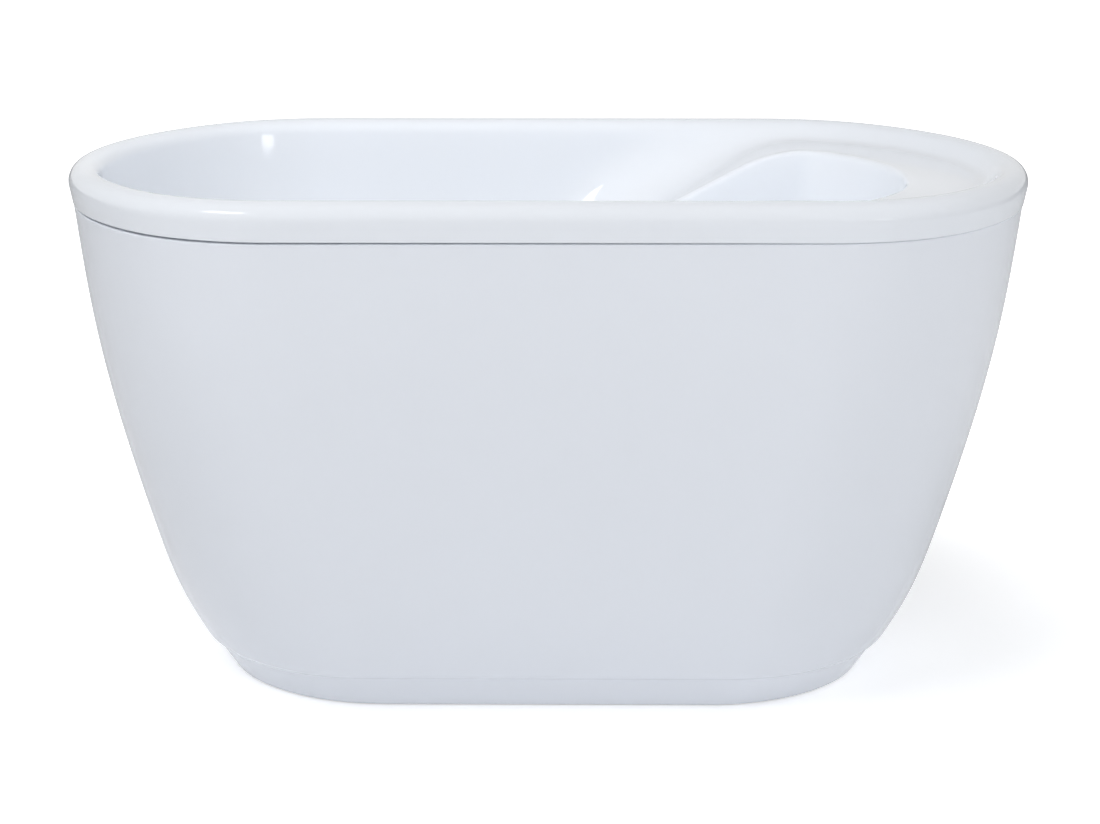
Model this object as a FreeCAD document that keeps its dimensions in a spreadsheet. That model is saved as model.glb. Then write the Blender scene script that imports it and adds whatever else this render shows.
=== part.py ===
import FreeCAD, Part
import math
import os
import re
import Sketcher

# Sit-in bathtub with a moulded seat: a basin with a rolled rim hangs in an outer skirt, and both stand
# on a tube frame with four levelling feet. X runs along the tub with the seat at +X, Y across it, Z up.

doc = FreeCAD.newDocument("sit_in_bathtub")

SIZES = (
    # Rim, seen from above: straight sides and rounded ends
    ("rim_length", 1200),
    ("rim_width", 700),
    ("rim_end", 291),
    ("tub_height", 680),
    ("rim_roll", 40),
    ("lip_height", 44),
    ("lip_slope", 0.16),
    ("acrylic", 6),
    # Skirt and its plinth
    ("skirt_skin", 5),
    ("skirt_tuck", 14),
    ("lip_gap", 1.5),
    ("seam_gap", 1.5),
    ("seam_step", 1),
    ("base_inset", 138),
    ("base_end", 232.5),
    ("side_share", 0.934),
    ("plinth_height", 56),
    ("plinth_step", 12),
    ("plinth_draft", 18),
    ("floor_gap", 2),
    ("base_round", 6),
    ("bead_height", 8),
    ("bead_recess", 2),
    # Basin
    ("basin_floor", 115),
    ("basin_taper", 128),
    ("basin_end", 205),
    ("basin_round", 45),
    # Deck, armrests, backrest and seat
    ("deck_drop", 25),
    ("deck_run", 289),
    ("ramp_run", 233),
    ("ramp_fall", 123),
    ("front_run", 74),
    ("ramp_round", 190),
    ("front_round", 110),
    ("scoop_half", 190),
    ("scoop_end", 104),
    ("scoop_reach", 146),
    ("scoop_draft", 15),
    ("back_lean", 59),
    ("seat_level", 340),
    ("seat_round", 40),
    # Boards and tube frame
    ("board", 16),
    ("tube", 25),
    ("tube_wall", 2),
    ("rail_end", 38),
    ("rail_inset", 76.2),
    ("cross_left_share", 0.158),
    ("cross_middle_inset", 56),
    ("cross_right_inset", 320),
    ("leg_left_inset", 110),
    ("leg_right_inset", 278),
    ("board_margin", 40),
    ("board_screw_lead", 26.4),
    ("board_screw_inset", 52),
    ("board_round", 90),
    ("board_gap", 12),
    ("drain_space", 52),
    ("seat_board_half", 140),
    ("seat_board_gap", 40),
    # Levelling feet
    ("foot_inset", 117.4),
    ("pad_radius", 25),
    ("pad_height", 10),
    ("pad_round", 3),
    ("stud_radius", 6),
    ("stud_collar", 8),
    ("stud_flats", 17),
    ("stud_top_gap", 5),
    ("nut_flats", 19),
    ("weld_nut", 12),
    ("lock_nut", 8),
    ("running_gap", 0.08),
    # Straps and screws
    ("strap_share", 0.125),
    ("strap_width", 30),
    ("strap_thick", 3),
    ("strap_land", 40),
    ("ledge_gap", 2),
    ("ledge_land", 8),
    ("screw_radius", 2.5),
    ("screw_head", 5),
    ("screw_head_height", 3),
    ("screw_bite", 10),
    # Waste fitting and stopper
    ("drain_share", 0.25),
    ("flange_radius", 36),
    ("flange_thick", 2.5),
    ("flange_recess", 2),
    ("throat_radius", 25),
    ("throat_wall", 3),
    ("throat_length", 30),
    ("web_thick", 5),
    ("web_width", 6),
    ("web_drop", 14),
    ("gasket_radius", 38),
    ("gasket_thick", 4),
    ("waste_radius", 30),
    ("waste_wall", 3.5),
    ("waste_collar", 6),
    ("waste_floor", 48),
    ("outlet_radius", 20),
    ("outlet_wall", 3),
    ("outlet_end", 24),
    ("inlet_height", 70),
    ("inlet_length", 14),
    ("cartridge_radius", 8),
    ("cartridge_drop", 22),
    ("stem_radius", 4),
    ("stem_gap", 2),
    ("cap_radius", 32),
    ("cap_rise", 7),
    ("cap_edge", 3),
    ("seal_radius", 25),
    ("seal_inner", 19),
    ("seal_thick", 2.5),
    ("stopper_gap", 0.3),
    # Overflow
    ("overflow_share", 0.8),
    ("overflow_inset_share", 0.105),
    ("overflow_tilt", 9.6),
    ("boss_radius", 38),
    ("boss_front", 2),
    ("boss_back", 1.5),
    ("wall_gasket", 2.5),
    ("overflow_bore", 24),
    ("cover_radius", 35),
    ("cover_thick", 9),
    ("cover_wall", 2),
    ("cover_stand", 3),
    ("chamber_radius", 30),
    ("chamber_depth", 20),
    ("chamber_wall", 2.5),
    ("spigot_radius", 9.5),
    ("spigot_wall", 2),
    ("pipe_radius", 12.5),
    ("pipe_wall", 2.5),
    ("socket_wall", 2.5),
    ("socket_length", 16),
    ("pipe_gap", 5),
    ("pipe_drop", 66),
    ("pipe_bend", 60),
    ("pipe_knee", 300),
)
ALIASES = {alias for alias, number in SIZES}

# Height and inset of each skirt section, from the base up, and of each basin section, from floor to rim
SKIRT_HEIGHT_SHARES = (0, 0.1, 0.25, 0.5, 0.75)
SKIRT_INSET_SHARES = (1, 0.798, 0.5955, 0.335, 0.142)
BASIN_HEIGHT_SHARES = (0, 0.1156, 0.3945, 0.67, 0.89, 1)
BASIN_INSET_SHARES = (1, 0.82, 0.484, 0.211, 0.047, 0)
# Where the underside's corners lie for each unit of sheet thickness, along X and along Z
RAMP_CORNER_SHARE = 0.25
FRONT_CORNER_SHARES = (0.9, 0.66)
# The stopper cap's crown, from its edge to its top
CAP_RADIUS_SHARES = (0.85, 0.6, 0.3)
CAP_HEIGHT_SHARES = (0.45, 0.8, 0.97)
# How near an edge lies to the height that it is looked for at
NEAR = 0.1

sheet = doc.addObject("Spreadsheet::Sheet", "Sizes")
for row, (alias, number) in enumerate(SIZES, start=1):
    sheet.set("A%d" % row, alias)
    sheet.set("B%d" % row, str(number))
    sheet.setAlias("B%d" % row, alias)
doc.recompute()


def expr(text):
    """The text with each size's name pointed at its cell."""
    return re.sub(r"[a-z_]+", lambda found: "Sizes." + found[0] if found[0] in ALIASES else found[0], text)


def value(text):
    """What the text comes to with the sizes as they stand."""
    return float(sheet.evalExpression(expr(text)))


def bind(thing, prop, text):
    """Ties a property to sizes."""
    thing.setExpression(prop, expr(text))


def new_body(label):
    """A body with its own label."""
    made = doc.addObject("PartDesign::Body", label)
    made.Label = label
    return made


def new_sketch(body, name, plane="XY_Plane", offset="0"):
    """A sketch on one of the body's own planes, moved along that plane's normal."""
    made = body.newObject("Sketcher::SketchObject", name)
    made.AttachmentSupport = [(next(f for f in body.Origin.OriginFeatures if f.Role == plane), "")]
    made.MapMode = "FlatFace"
    bind(made, "AttachmentOffset.Base.z", offset)
    return made


def dimension(sketch, kind, *where, text):
    """A dimension of the sketch, tied to sizes."""
    index = sketch.addConstraint(Sketcher.Constraint(kind, *where, value(text)))
    bind(sketch, "Constraints[%d]" % index, text)


def fix(sketch, geo, point, x=None, y=None):
    """Holds a point of the sketch at a place given by sizes; zero puts it on the axis."""
    if x == "0":
        sketch.addConstraint(Sketcher.Constraint("PointOnObject", geo, point, -2))
    elif x is not None:
        dimension(sketch, "DistanceX", -1, 1, geo, point, text=x)
    if y == "0":
        sketch.addConstraint(Sketcher.Constraint("PointOnObject", geo, point, -1))
    elif y is not None:
        dimension(sketch, "DistanceY", -1, 1, geo, point, text=y)


def at(x, y):
    """A point in the sketch's plane."""
    return FreeCAD.Vector(value(x), value(y), 0)


def join(sketch, *pairs):
    """Joins the end of each piece to the start of the next."""
    for (geo, point), (other, other_point) in pairs:
        sketch.addConstraint(Sketcher.Constraint("Coincident", geo, point, other, other_point))


def polygon(sketch, corners):
    """A closed outline through the corners."""
    spots = [at(x, y) for x, y in corners]
    ends = spots[1:] + spots[:1]
    lines = [sketch.addGeometry(Part.LineSegment(a, b)) for a, b in zip(spots, ends)]
    for i, line in enumerate(lines):
        join(sketch, ((line, 2), (lines[(i + 1) % len(lines)], 1)))
        fix(sketch, line, 1, *corners[i])


def rectangle(sketch, x_low, y_low, x_high, y_high):
    """An upright rectangle."""
    polygon(sketch, ((x_low, y_low), (x_high, y_low), (x_high, y_high), (x_low, y_high)))


def circle(sketch, radius, x="0", y="0"):
    """A circle about a point."""
    geo = sketch.addGeometry(Part.Circle(at(x, y), FreeCAD.Vector(0, 0, 1), value(radius)))
    dimension(sketch, "Radius", geo, text=radius)
    fix(sketch, geo, 3, x, y)


def hexagon(sketch, flats, x="0", y="0"):
    """A hexagon with its flats across Y."""
    corner = "(%s) / sqrt(3)" % flats
    half = "(%s) / 2" % flats
    turns = (("1", "0"), ("0.5", "1"), ("-0.5", "1"), ("-1", "0"), ("-0.5", "-1"), ("0.5", "-1"))
    polygon(sketch, [("%s + %s * %s" % (x, u, corner), "%s + %s * %s" % (y, v, half)) for u, v in turns])


def round_end(half_width, end):
    """Radii of the two arcs that round a quarter of an end and meet at half a right angle."""
    corner = "((1 + sqrt(0.5)) * (%s) - sqrt(0.5) * (%s))" % (end, half_width)
    crown = "((1 + sqrt(0.5)) * (%s) - sqrt(0.5) * (%s))" % (half_width, end)
    return corner, crown


def arc(sketch, centre, start, finish):
    """An anticlockwise arc."""
    middle = at(*centre)
    first = at(*start) - middle
    last = at(*finish) - middle
    round_one = Part.Circle(middle, FreeCAD.Vector(0, 0, 1), first.Length)
    low = math.atan2(first.y, first.x)
    high = math.atan2(last.y, last.x)
    return sketch.addGeometry(Part.ArcOfCircle(round_one, low, high if high > low else high + math.tau))


def end_arcs(sketch, side, straight, half_width, end):
    """The three arcs of one rounded end, anticlockwise; side is 1 at +X and -1 at -X."""
    corner, crown = round_end(half_width, end)
    sign = "%d * " % side
    low = "%d * " % -side
    corner_x = sign + "(%s)" % straight
    crown_x = sign + "((%s) + (%s) - %s)" % (straight, end, crown)
    joint_x = sign + "((%s) + %s * sqrt(0.5))" % (straight, corner)
    joint_y = "((%s) - %s * (1 - sqrt(0.5)))" % (half_width, corner)
    centre_y = "((%s) - %s)" % (half_width, corner)
    side_y = "(%s)" % half_width
    first = arc(sketch, (corner_x, low + centre_y), (corner_x, low + side_y), (joint_x, low + joint_y))
    crest = arc(sketch, (crown_x, "0"), (joint_x, low + joint_y), (joint_x, sign + joint_y))
    last = arc(sketch, (corner_x, sign + centre_y), (joint_x, sign + joint_y), (corner_x, sign + side_y))
    join(sketch, ((first, 2), (crest, 1)), ((crest, 2), (last, 1)))
    fix(sketch, first, 3, corner_x, low + centre_y)
    fix(sketch, first, 1, corner_x, low + side_y)
    fix(sketch, first, 2, joint_x)
    fix(sketch, crest, 3, crown_x, "0")
    fix(sketch, crest, 2, joint_x)
    fix(sketch, last, 3, corner_x, sign + centre_y)
    fix(sketch, last, 2, corner_x)
    return first, last


def oval(body, name, half_length, half_width, end, height):
    """A level outline with straight sides and two rounded ends."""
    made = new_sketch(body, name, offset=height)
    straight = "(%s) - (%s)" % (half_length, end)
    right_first, right_last = end_arcs(made, 1, straight, half_width, end)
    left_first, left_last = end_arcs(made, -1, straight, half_width, end)
    for start, finish in ((right_last, left_first), (left_last, right_first)):
        first = made.Geometry[start].EndPoint
        line = made.addGeometry(Part.LineSegment(first, made.Geometry[finish].StartPoint))
        join(made, ((start, 2), (line, 1)), ((line, 2), (finish, 1)))
    return made


def bay(body, name, left, straight, half_width, end, height):
    """A level outline that is open-ended to the left and rounded at the right."""
    made = new_sketch(body, name, offset=height)
    first, last = end_arcs(made, 1, straight, half_width, end)
    corners = [made.Geometry[last].EndPoint, at(left, half_width), at(left, "-(%s)" % half_width)]
    corners.append(made.Geometry[first].StartPoint)
    lines = [made.addGeometry(Part.LineSegment(a, b)) for a, b in zip(corners, corners[1:])]
    join(made, ((last, 2), (lines[0], 1)), ((lines[0], 2), (lines[1], 1)))
    join(made, ((lines[1], 2), (lines[2], 1)), ((lines[2], 2), (first, 1)))
    fix(made, lines[1], 1, left, half_width)
    fix(made, lines[1], 2, left, "-(%s)" % half_width)
    return made


def extrude(body, sketch, name, length, cut=False, both=False, back=False):
    """A pad or a pocket of the sketch."""
    made = body.newObject("PartDesign::Pocket" if cut else "PartDesign::Pad", name)
    made.Profile = sketch
    bind(made, "Length", length)
    made.SideType = "Symmetric" if both else "One side"
    made.Reversed = back
    return made


def turn(body, sketch, name):
    """The sketch turned once round the upright axis."""
    made = body.newObject("PartDesign::Revolution", name)
    made.Profile = sketch
    made.ReferenceAxis = (sketch, ["V_Axis"])
    made.Angle = 360
    return made


def loft(body, name, sections, cut=False):
    """A smooth skin through level sections."""
    made = body.newObject("PartDesign::SubtractiveLoft" if cut else "PartDesign::AdditiveLoft", name)
    made.Profile = sections[0]
    made.Sections = sections[1:]
    return made


def soften(body, name, radius, test):
    """Rounds the edges that pass the test on the body as it stands."""
    doc.recompute()
    tip = body.Tip
    edges = ["Edge%d" % i for i, edge in enumerate(tip.Shape.Edges, start=1) if test(edge)]
    made = body.newObject("PartDesign::Fillet", name)
    made.Base = (tip, edges)
    bind(made, "Radius", radius)
    doc.recompute()


def level(edge, height):
    """Whether an edge lies flat at this height."""
    return abs(edge.BoundBox.ZMin - height) < NEAR and abs(edge.BoundBox.ZMax - height) < NEAR


def boolean(kind, name, base, tool):
    """One solid cut from or kept by another."""
    made = doc.addObject(kind, name)
    made.Base = base
    made.Tool = tool
    return made


HALF = "rim_length / 2"
SIDE = "rim_width / 2"
SPRING = "(tub_height - rim_roll / 2)"
LIP = "(tub_height - lip_height)"
UNDER = "(basin_floor - acrylic)"
FRAME_TOP = "(basin_floor - acrylic - board)"
FRAME_LOW = "(basin_floor - acrylic - board - tube)"
DRAIN_X = "(-rim_length * drain_share)"
SEAT_FOOT = "(rim_length / 2 - deck_run - ramp_run - front_run)"
BASE_HALF = "(rim_length / 2 - base_inset)"
BASE_SIDE = "(rim_width / 2 - base_inset * side_share)"
PLINTH_HALF = "(%s - plinth_step - plinth_draft)" % BASE_HALF
PLINTH_SIDE = "(%s - plinth_step - plinth_draft)" % BASE_SIDE
LEAN = "sqrt(1 + lip_slope ^ 2)"
LIP_IN = "(rim_roll / 2 * (1 - %s) + (tub_height - rim_roll / 2 - %s) * lip_slope)" % (LEAN, LIP)
LIP_BACK = "(%s + acrylic * %s)" % (LIP_IN, LEAN)
TUCK = "(%s + lip_gap)" % LIP_BACK
SHOULDER = "(%s - seam_gap)" % LIP
FOOT_X = "(%s - skirt_skin - foot_inset)" % PLINTH_HALF
RAIL_Y = "(%s - skirt_skin - rail_inset)" % PLINTH_SIDE
finished = {}

# Inner tub: the rolled rim is a hooked strip carried once round the rim's outline
rim = new_body("rim_strip")
rim_path = oval(rim, "rim_path", HALF, SIDE, "rim_end", SPRING)
hook = new_sketch(rim, "rim_hook", "XZ_Plane")
roll = "rim_roll / 2"
hollow_roll = "(rim_roll / 2 - acrylic)"
turn_out = ("%s - %s * (1 - 1 / %s)" % (HALF, roll, LEAN), "%s - %s * lip_slope / %s" % (SPRING, roll, LEAN))
turn_in = (
    "%s - %s + %s / %s" % (HALF, roll, hollow_roll, LEAN),
    "%s - %s * lip_slope / %s" % (SPRING, hollow_roll, LEAN),
)
lines = (
    (("%s - %s" % (HALF, LIP_IN), LIP), turn_out),
    ((HALF + " - rim_roll", SPRING), (HALF + " - rim_roll + acrylic", SPRING)),
    (turn_in, ("%s - %s" % (HALF, LIP_BACK), LIP)),
    (("%s - %s" % (HALF, LIP_BACK), LIP), ("%s - %s" % (HALF, LIP_IN), LIP)),
)
outside, toe, inside, foot = [hook.addGeometry(Part.LineSegment(at(*a), at(*b))) for a, b in lines]
crest = arc(hook, (HALF + " - " + roll, SPRING), lines[0][1], lines[1][0])
hollow = arc(hook, (HALF + " - " + roll, SPRING), lines[2][0], lines[1][1])
join(hook, ((outside, 2), (crest, 1)), ((crest, 2), (toe, 1)), ((toe, 2), (hollow, 2)))
join(hook, ((hollow, 1), (inside, 1)), ((inside, 2), (foot, 1)), ((foot, 2), (outside, 1)))
fix(hook, outside, 1, *lines[0][0])
fix(hook, outside, 2, *lines[0][1])
fix(hook, toe, 1, y=SPRING)
fix(hook, toe, 2, *lines[1][1])
fix(hook, inside, 1, y=turn_in[1])
fix(hook, inside, 2, *lines[2][1])
fix(hook, crest, 3, HALF + " - " + roll, SPRING)
fix(hook, hollow, 3, HALF + " - " + roll, SPRING)
rim_strip = rim.newObject("PartDesign::AdditivePipe", "rim_sweep")
rim_strip.Profile = hook
rim_strip.Spine = rim_path


def basin(label, skin):
    """The basin as a solid, its walls set out by the skin and its floor set down by it."""
    made = new_body(label)
    low = "(basin_floor - %s)" % skin
    sections = []
    for i, (height, inset) in enumerate(zip(BASIN_HEIGHT_SHARES, BASIN_INSET_SHARES)):
        end_inset = "(rim_roll - %s + basin_taper * %s)" % (skin, inset)
        side_inset = "(rim_roll - %s + basin_taper * side_share * %s)" % (skin, inset)
        end = "((rim_end - rim_roll) * (1 - %s) + basin_end * %s + %s)" % (inset, inset, skin)
        place = "%s + (%s - %s) * %s" % (low, SPRING, low, height)
        sections.append(
            oval(made, "%s_%d" % (label, i), HALF + " - " + end_inset, SIDE + " - " + side_inset, end, place)
        )
    loft(made, label + "_loft", sections[::-1])
    soften(made, label + "_round", "basin_round + %s" % skin, lambda edge: level(edge, value(low)))
    return made


def seat(label, skin):
    """The seat block under the basin's sheet, sunk by the skin: deck, sloping arms and scoop."""
    made = new_body(label)
    deck = "(tub_height - deck_drop - %s)" % skin
    ramp_x = "(%s - deck_run + %s * %s)" % (HALF, RAMP_CORNER_SHARE, skin)
    front_x = "(%s - deck_run - ramp_run + %s * %s)" % (HALF, FRONT_CORNER_SHARES[0], skin)
    front_z = "(tub_height - deck_drop - ramp_fall - %s * %s)" % (FRONT_CORNER_SHARES[1], skin)
    foot_x = "(%s + %s)" % (SEAT_FOOT, skin)
    side_view = new_sketch(made, label + "_side", "XZ_Plane")
    corners = ((HALF, deck), (ramp_x, deck), (front_x, front_z), (foot_x, "basin_floor"))
    polygon(side_view, corners + ((foot_x, "0"), (HALF, "0")))
    extrude(made, side_view, label + "_block", "rim_width", both=True)

    def corner_at(x, z):
        """Whether an edge runs across the tub at this corner of the side view."""
        spot = FreeCAD.Vector(value(x), 0, value(z))
        near = value("acrylic")
        return lambda edge: abs(edge.CenterOfMass.x - spot.x) + abs(edge.CenterOfMass.z - spot.z) < near

    soften(made, label + "_ramp_round", "ramp_round - %s" % skin, corner_at(ramp_x, deck))
    soften(made, label + "_front_round", "front_round - %s" % skin, corner_at(front_x, front_z))
    pan = "(seat_level - %s)" % skin
    half = "(scoop_half + %s)" % skin
    straight = HALF + " - scoop_reach - scoop_end"
    end = "(scoop_end + %s)" % skin
    low_half = "(scoop_half - scoop_draft + %s)" % skin
    low = bay(made, label + "_pan", "-rim_end", straight + " - back_lean", low_half, end, pan)
    high = bay(made, label + "_mouth", "-rim_end", straight, half, end, deck)
    loft(made, label + "_scoop", [low, high], cut=True)

    def pan_edge(edge):
        """Whether an edge runs round the seat's pan, its front left out."""
        return level(edge, value(pan)) and edge.BoundBox.XMax > value(front_x)

    soften(made, label + "_pan_round", "seat_round + %s" % skin, pan_edge)
    return made


basin_dry = basin("basin_dry", "acrylic")
basin_wet = basin("basin_wet", "0")
seat_dry = seat("seat_dry", "acrylic")
seat_wet = seat("seat_wet", "0")
wet_space = boolean("Part::Cut", "wet_space", basin_wet, seat_wet)
sheet_out = boolean("Part::Cut", "sheet_out", basin_dry, seat_dry)
basin_sheet = boolean("Part::Cut", "basin_sheet", sheet_out, wet_space)

# Inner tub: the basin's sheet joined to the rim, with a flat boss for the overflow and a recess for the waste
OVERFLOW_X = "(-(rim_length / 2 - rim_roll - basin_taper * overflow_inset_share))"
OVERFLOW_Z = "(basin_floor + (%s - basin_floor) * overflow_share)" % SPRING


def face_wall(thing):
    """Stands a piece on the left end wall, its own Z pointing into the basin and its own X down the wall."""
    across = FreeCAD.Rotation(FreeCAD.Vector(0, 1, 0), value("90 - overflow_tilt"))
    thing.Placement = FreeCAD.Placement(FreeCAD.Vector(value(OVERFLOW_X), 0, value(OVERFLOW_Z)), across)
    bind(thing, "Placement.Base.x", OVERFLOW_X)
    bind(thing, "Placement.Base.z", OVERFLOW_Z)
    bind(thing, "Placement.Rotation.Angle", "90 - overflow_tilt")


def stand_at(thing, x="0", y="0", z="0"):
    """Moves a piece to its place."""
    bind(thing, "Placement.Base.x", x)
    bind(thing, "Placement.Base.y", y)
    bind(thing, "Placement.Base.z", z)


BOSS_BACK = "(acrylic + boss_back)"
boss = new_body("overflow_boss")
boss_ring = new_sketch(boss, "boss_ring", offset="-" + BOSS_BACK)
circle(boss_ring, "boss_radius")
extrude(boss, boss_ring, "boss_pad", "boss_front + " + BOSS_BACK)
face_wall(boss)
boss_hole = new_body("overflow_hole")
hole_ring = new_sketch(boss_hole, "hole_ring")
circle(hole_ring, "overflow_bore")
extrude(boss_hole, hole_ring, "hole_pad", "boss_radius", both=True)
face_wall(boss_hole)
waste_hole = new_body("waste_hole")
recess_ring = new_sketch(waste_hole, "recess_ring", offset="basin_floor - flange_recess")
circle(recess_ring, "flange_radius")
extrude(waste_hole, recess_ring, "recess_pad", "flange_radius")
bore_ring = new_sketch(waste_hole, "bore_ring", offset=UNDER)
circle(bore_ring, "throat_radius")
extrude(waste_hole, bore_ring, "bore_pad", "2 * acrylic", both=True)
stand_at(waste_hole, x=DRAIN_X)
tub_sheet = doc.addObject("Part::MultiFuse", "tub_sheet")
tub_sheet.Shapes = [basin_sheet, rim, boss]
tub_holes = doc.addObject("Part::MultiFuse", "tub_holes")
tub_holes.Shapes = [boss_hole, waste_hole]
inner_tub = boolean("Part::Cut", "inner_tub", tub_sheet, tub_holes)
finished["inner_tub"] = inner_tub

# Outer skirt: a shell that curves in towards the floor, a plinth under it and an edge behind the rim's lip
skirt = new_body("outer_skirt")


def skirt_sections(name, skin, foot, top):
    """Outlines of the skirt from its shoulder down to its foot, set in by the skin."""
    sections = []
    for i, (height, inset) in enumerate(zip(SKIRT_HEIGHT_SHARES, SKIRT_INSET_SHARES)):
        end = "(rim_end * (1 - %s) + base_end * %s - %s)" % (inset, inset, skin)
        half_length = HALF + " - base_inset * %s - %s" % (inset, skin)
        half_width = SIDE + " - base_inset * side_share * %s - %s" % (inset, skin)
        place = "%s + (%s - %s) * %s" % (foot, top, foot, height)
        sections.append(oval(skirt, "%s_%d" % (name, i), half_length, half_width, end, place))
    inset = " - %s - seam_step - %s" % (LIP_IN, skin)
    sections.append(oval(skirt, name + "_top", HALF + inset, SIDE + inset, "rim_end" + inset, top))
    return sections[::-1]


loft(skirt, "skirt_loft", skirt_sections("skirt_out", "0", "plinth_height", SHOULDER))
soften(skirt, "skirt_base_round", "base_round", lambda edge: level(edge, value("plinth_height")))
tuck = oval(skirt, "tuck", HALF + " - " + TUCK, SIDE + " - " + TUCK, "rim_end - " + TUCK, SHOULDER)
extrude(skirt, tuck, "tuck_pad", "skirt_tuck + seam_gap")
LEDGE = "(plinth_height + skirt_skin)"


def plinth_sections(name, skin):
    """Outlines of the plinth at the ledge and at the floor, set in by the skin."""
    sections = []
    low_step = "(plinth_step + plinth_draft)"
    for word, step, height in (("top", "plinth_step", LEDGE), ("low", low_step, "floor_gap")):
        inset = " - %s - %s" % (step, skin)
        end = "base_end - %s / 2 - %s" % (step, skin)
        sections.append(oval(skirt, "%s_%s" % (name, word), BASE_HALF + inset, BASE_SIDE + inset, end, height))
    return sections


loft(skirt, "plinth_loft", plinth_sections("plinth_out", "0"))
WEB = "(%s - skirt_skin)" % SHOULDER
loft(skirt, "skirt_hollow", skirt_sections("skirt_in", "skirt_skin", LEDGE, WEB), cut=True)
inset = " - %s - skirt_skin" % TUCK
tuck_ring = oval(skirt, "tuck_in", HALF + inset, SIDE + inset, "rim_end" + inset, WEB)
extrude(skirt, tuck_ring, "tuck_hollow", "skirt_tuck + seam_gap + skirt_skin", cut=True, back=True)
loft(skirt, "plinth_hollow", plinth_sections("plinth_in", "skirt_skin"), cut=True)
finished["outer_skirt"] = skirt

# Adhesive bead that fills the gap between the lip and the skirt's upright edge
bead = new_body("rim_bond_bead")
bead_low = LIP + " + bead_recess"
bead_outlines = []
for word, rise in (("top", "(bead_recess + bead_height)"), ("low", "bead_recess")):
    inset = " - (%s - %s * lip_slope)" % (LIP_BACK, rise)
    place = "%s + %s" % (LIP, rise)
    bead_outlines.append(oval(bead, "bead_" + word, HALF + inset, SIDE + inset, "rim_end" + inset, place))
loft(bead, "bead_loft", bead_outlines)
bead_in = oval(bead, "bead_in", HALF + " - " + TUCK, SIDE + " - " + TUCK, "rim_end - " + TUCK, bead_low)
extrude(bead, bead_in, "bead_hollow", "bead_height", cut=True, back=True)
finished["rim_bond_bead"] = bead

# Reinforcing boards under the floor and under the seat
RAIL_SCREWS = (DRAIN_X + " + board_screw_lead", SEAT_FOOT + " - board_gap - board_screw_inset")
floor_board = new_body("floor_board")
board_plan = new_sketch(floor_board, "board_plan", offset=FRAME_TOP)
board_half = "(%s + tube / 2 + board_margin)" % RAIL_Y
board_left = DRAIN_X + " - drain_space - board_margin"
rectangle(board_plan, board_left, "-" + board_half, SEAT_FOOT + " - board_gap", board_half)
extrude(floor_board, board_plan, "board_pad", "board")
soften(
    floor_board,
    "board_corners",
    "board_round",
    lambda edge: edge.BoundBox.ZLength > value("board / 2") and edge.CenterOfMass.x < value(DRAIN_X),
)
drain_gap = new_sketch(floor_board, "drain_gap", offset=FRAME_TOP)
circle(drain_gap, "drain_space", x=DRAIN_X)
extrude(floor_board, drain_gap, "drain_cut", "board", cut=True, back=True)
board_pilots = new_sketch(floor_board, "board_pilots", offset=FRAME_TOP)
for x in RAIL_SCREWS:
    for side in ("", "-"):
        circle(board_pilots, "screw_radius", x=x, y=side + RAIL_Y)
extrude(floor_board, board_pilots, "board_pilot_cut", "screw_bite", cut=True, back=True)
finished["floor_board"] = floor_board

SEAT_BOARD_LOW = "(seat_level - acrylic - board)"
seat_board = new_body("seat_board")
seat_plan = new_sketch(seat_board, "seat_plan", offset=SEAT_BOARD_LOW)
rectangle(
    seat_plan,
    SEAT_FOOT + " + front_run + seat_board_gap / 4",
    "-seat_board_half",
    HALF + " - scoop_reach - scoop_end - seat_board_gap",
    "seat_board_half",
)
extrude(seat_board, seat_plan, "seat_board_pad", "board")
finished["seat_board"] = seat_board


def square_tube(label, plane, length, x="0", y="0", z="0"):
    """A length of square tube along the plane's normal, centred where it stands."""
    made = new_body(label)
    section = new_sketch(made, label + "_section", plane)
    rectangle(section, "-tube / 2", "-tube / 2", "tube / 2", "tube / 2")
    inner = "(tube / 2 - tube_wall)"
    rectangle(section, "-" + inner, "-" + inner, inner, inner)
    extrude(made, section, label + "_pad", length, both=True)
    stand_at(made, x, y, z)
    finished[label] = made
    return made


# Tube frame: two rails with three cross tubes between them, and two portals that carry the seat
TUBE_Z = "(%s + tube / 2)" % FRAME_LOW
STRAP_X = "rim_length * strap_share"
RAIL_LENGTH = "2 * (%s + rail_end)" % FOOT_X
for word, side in (("front", "-"), ("back", "")):
    rail = square_tube("frame_rail_" + word, "YZ_Plane", RAIL_LENGTH, y=side + RAIL_Y, z=TUBE_Z)
    screw_holes = new_sketch(rail, "rail_screw_holes_" + word, offset="-tube")
    for x in RAIL_SCREWS:
        circle(screw_holes, "screw_radius", x=x)
    extrude(rail, screw_holes, "rail_screw_cut_" + word, "2 * tube", cut=True, back=True)
    low_holes = new_sketch(rail, "rail_low_holes_" + word, offset="-tube")
    for x in (FOOT_X, "-" + FOOT_X):
        circle(low_holes, "stud_radius + tube_wall", x=x)
    for x in (STRAP_X, "-" + STRAP_X):
        circle(low_holes, "screw_radius", x=x)
    extrude(rail, low_holes, "rail_low_cut_" + word, "tube", cut=True, back=True)
CROSS_LENGTH = "2 * %s - tube" % RAIL_Y
square_tube("frame_cross_left", "XZ_Plane", CROSS_LENGTH, x="-rim_length * cross_left_share", z=TUBE_Z)
square_tube("frame_cross_middle", "XZ_Plane", CROSS_LENGTH, x=SEAT_FOOT + " + cross_middle_inset", z=TUBE_Z)
square_tube("frame_cross_right", "XZ_Plane", CROSS_LENGTH, x=SEAT_FOOT + " + cross_right_inset", z=TUBE_Z)
LEG_LENGTH = "(%s - tube - %s)" % (SEAT_BOARD_LOW, FRAME_TOP)
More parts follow.
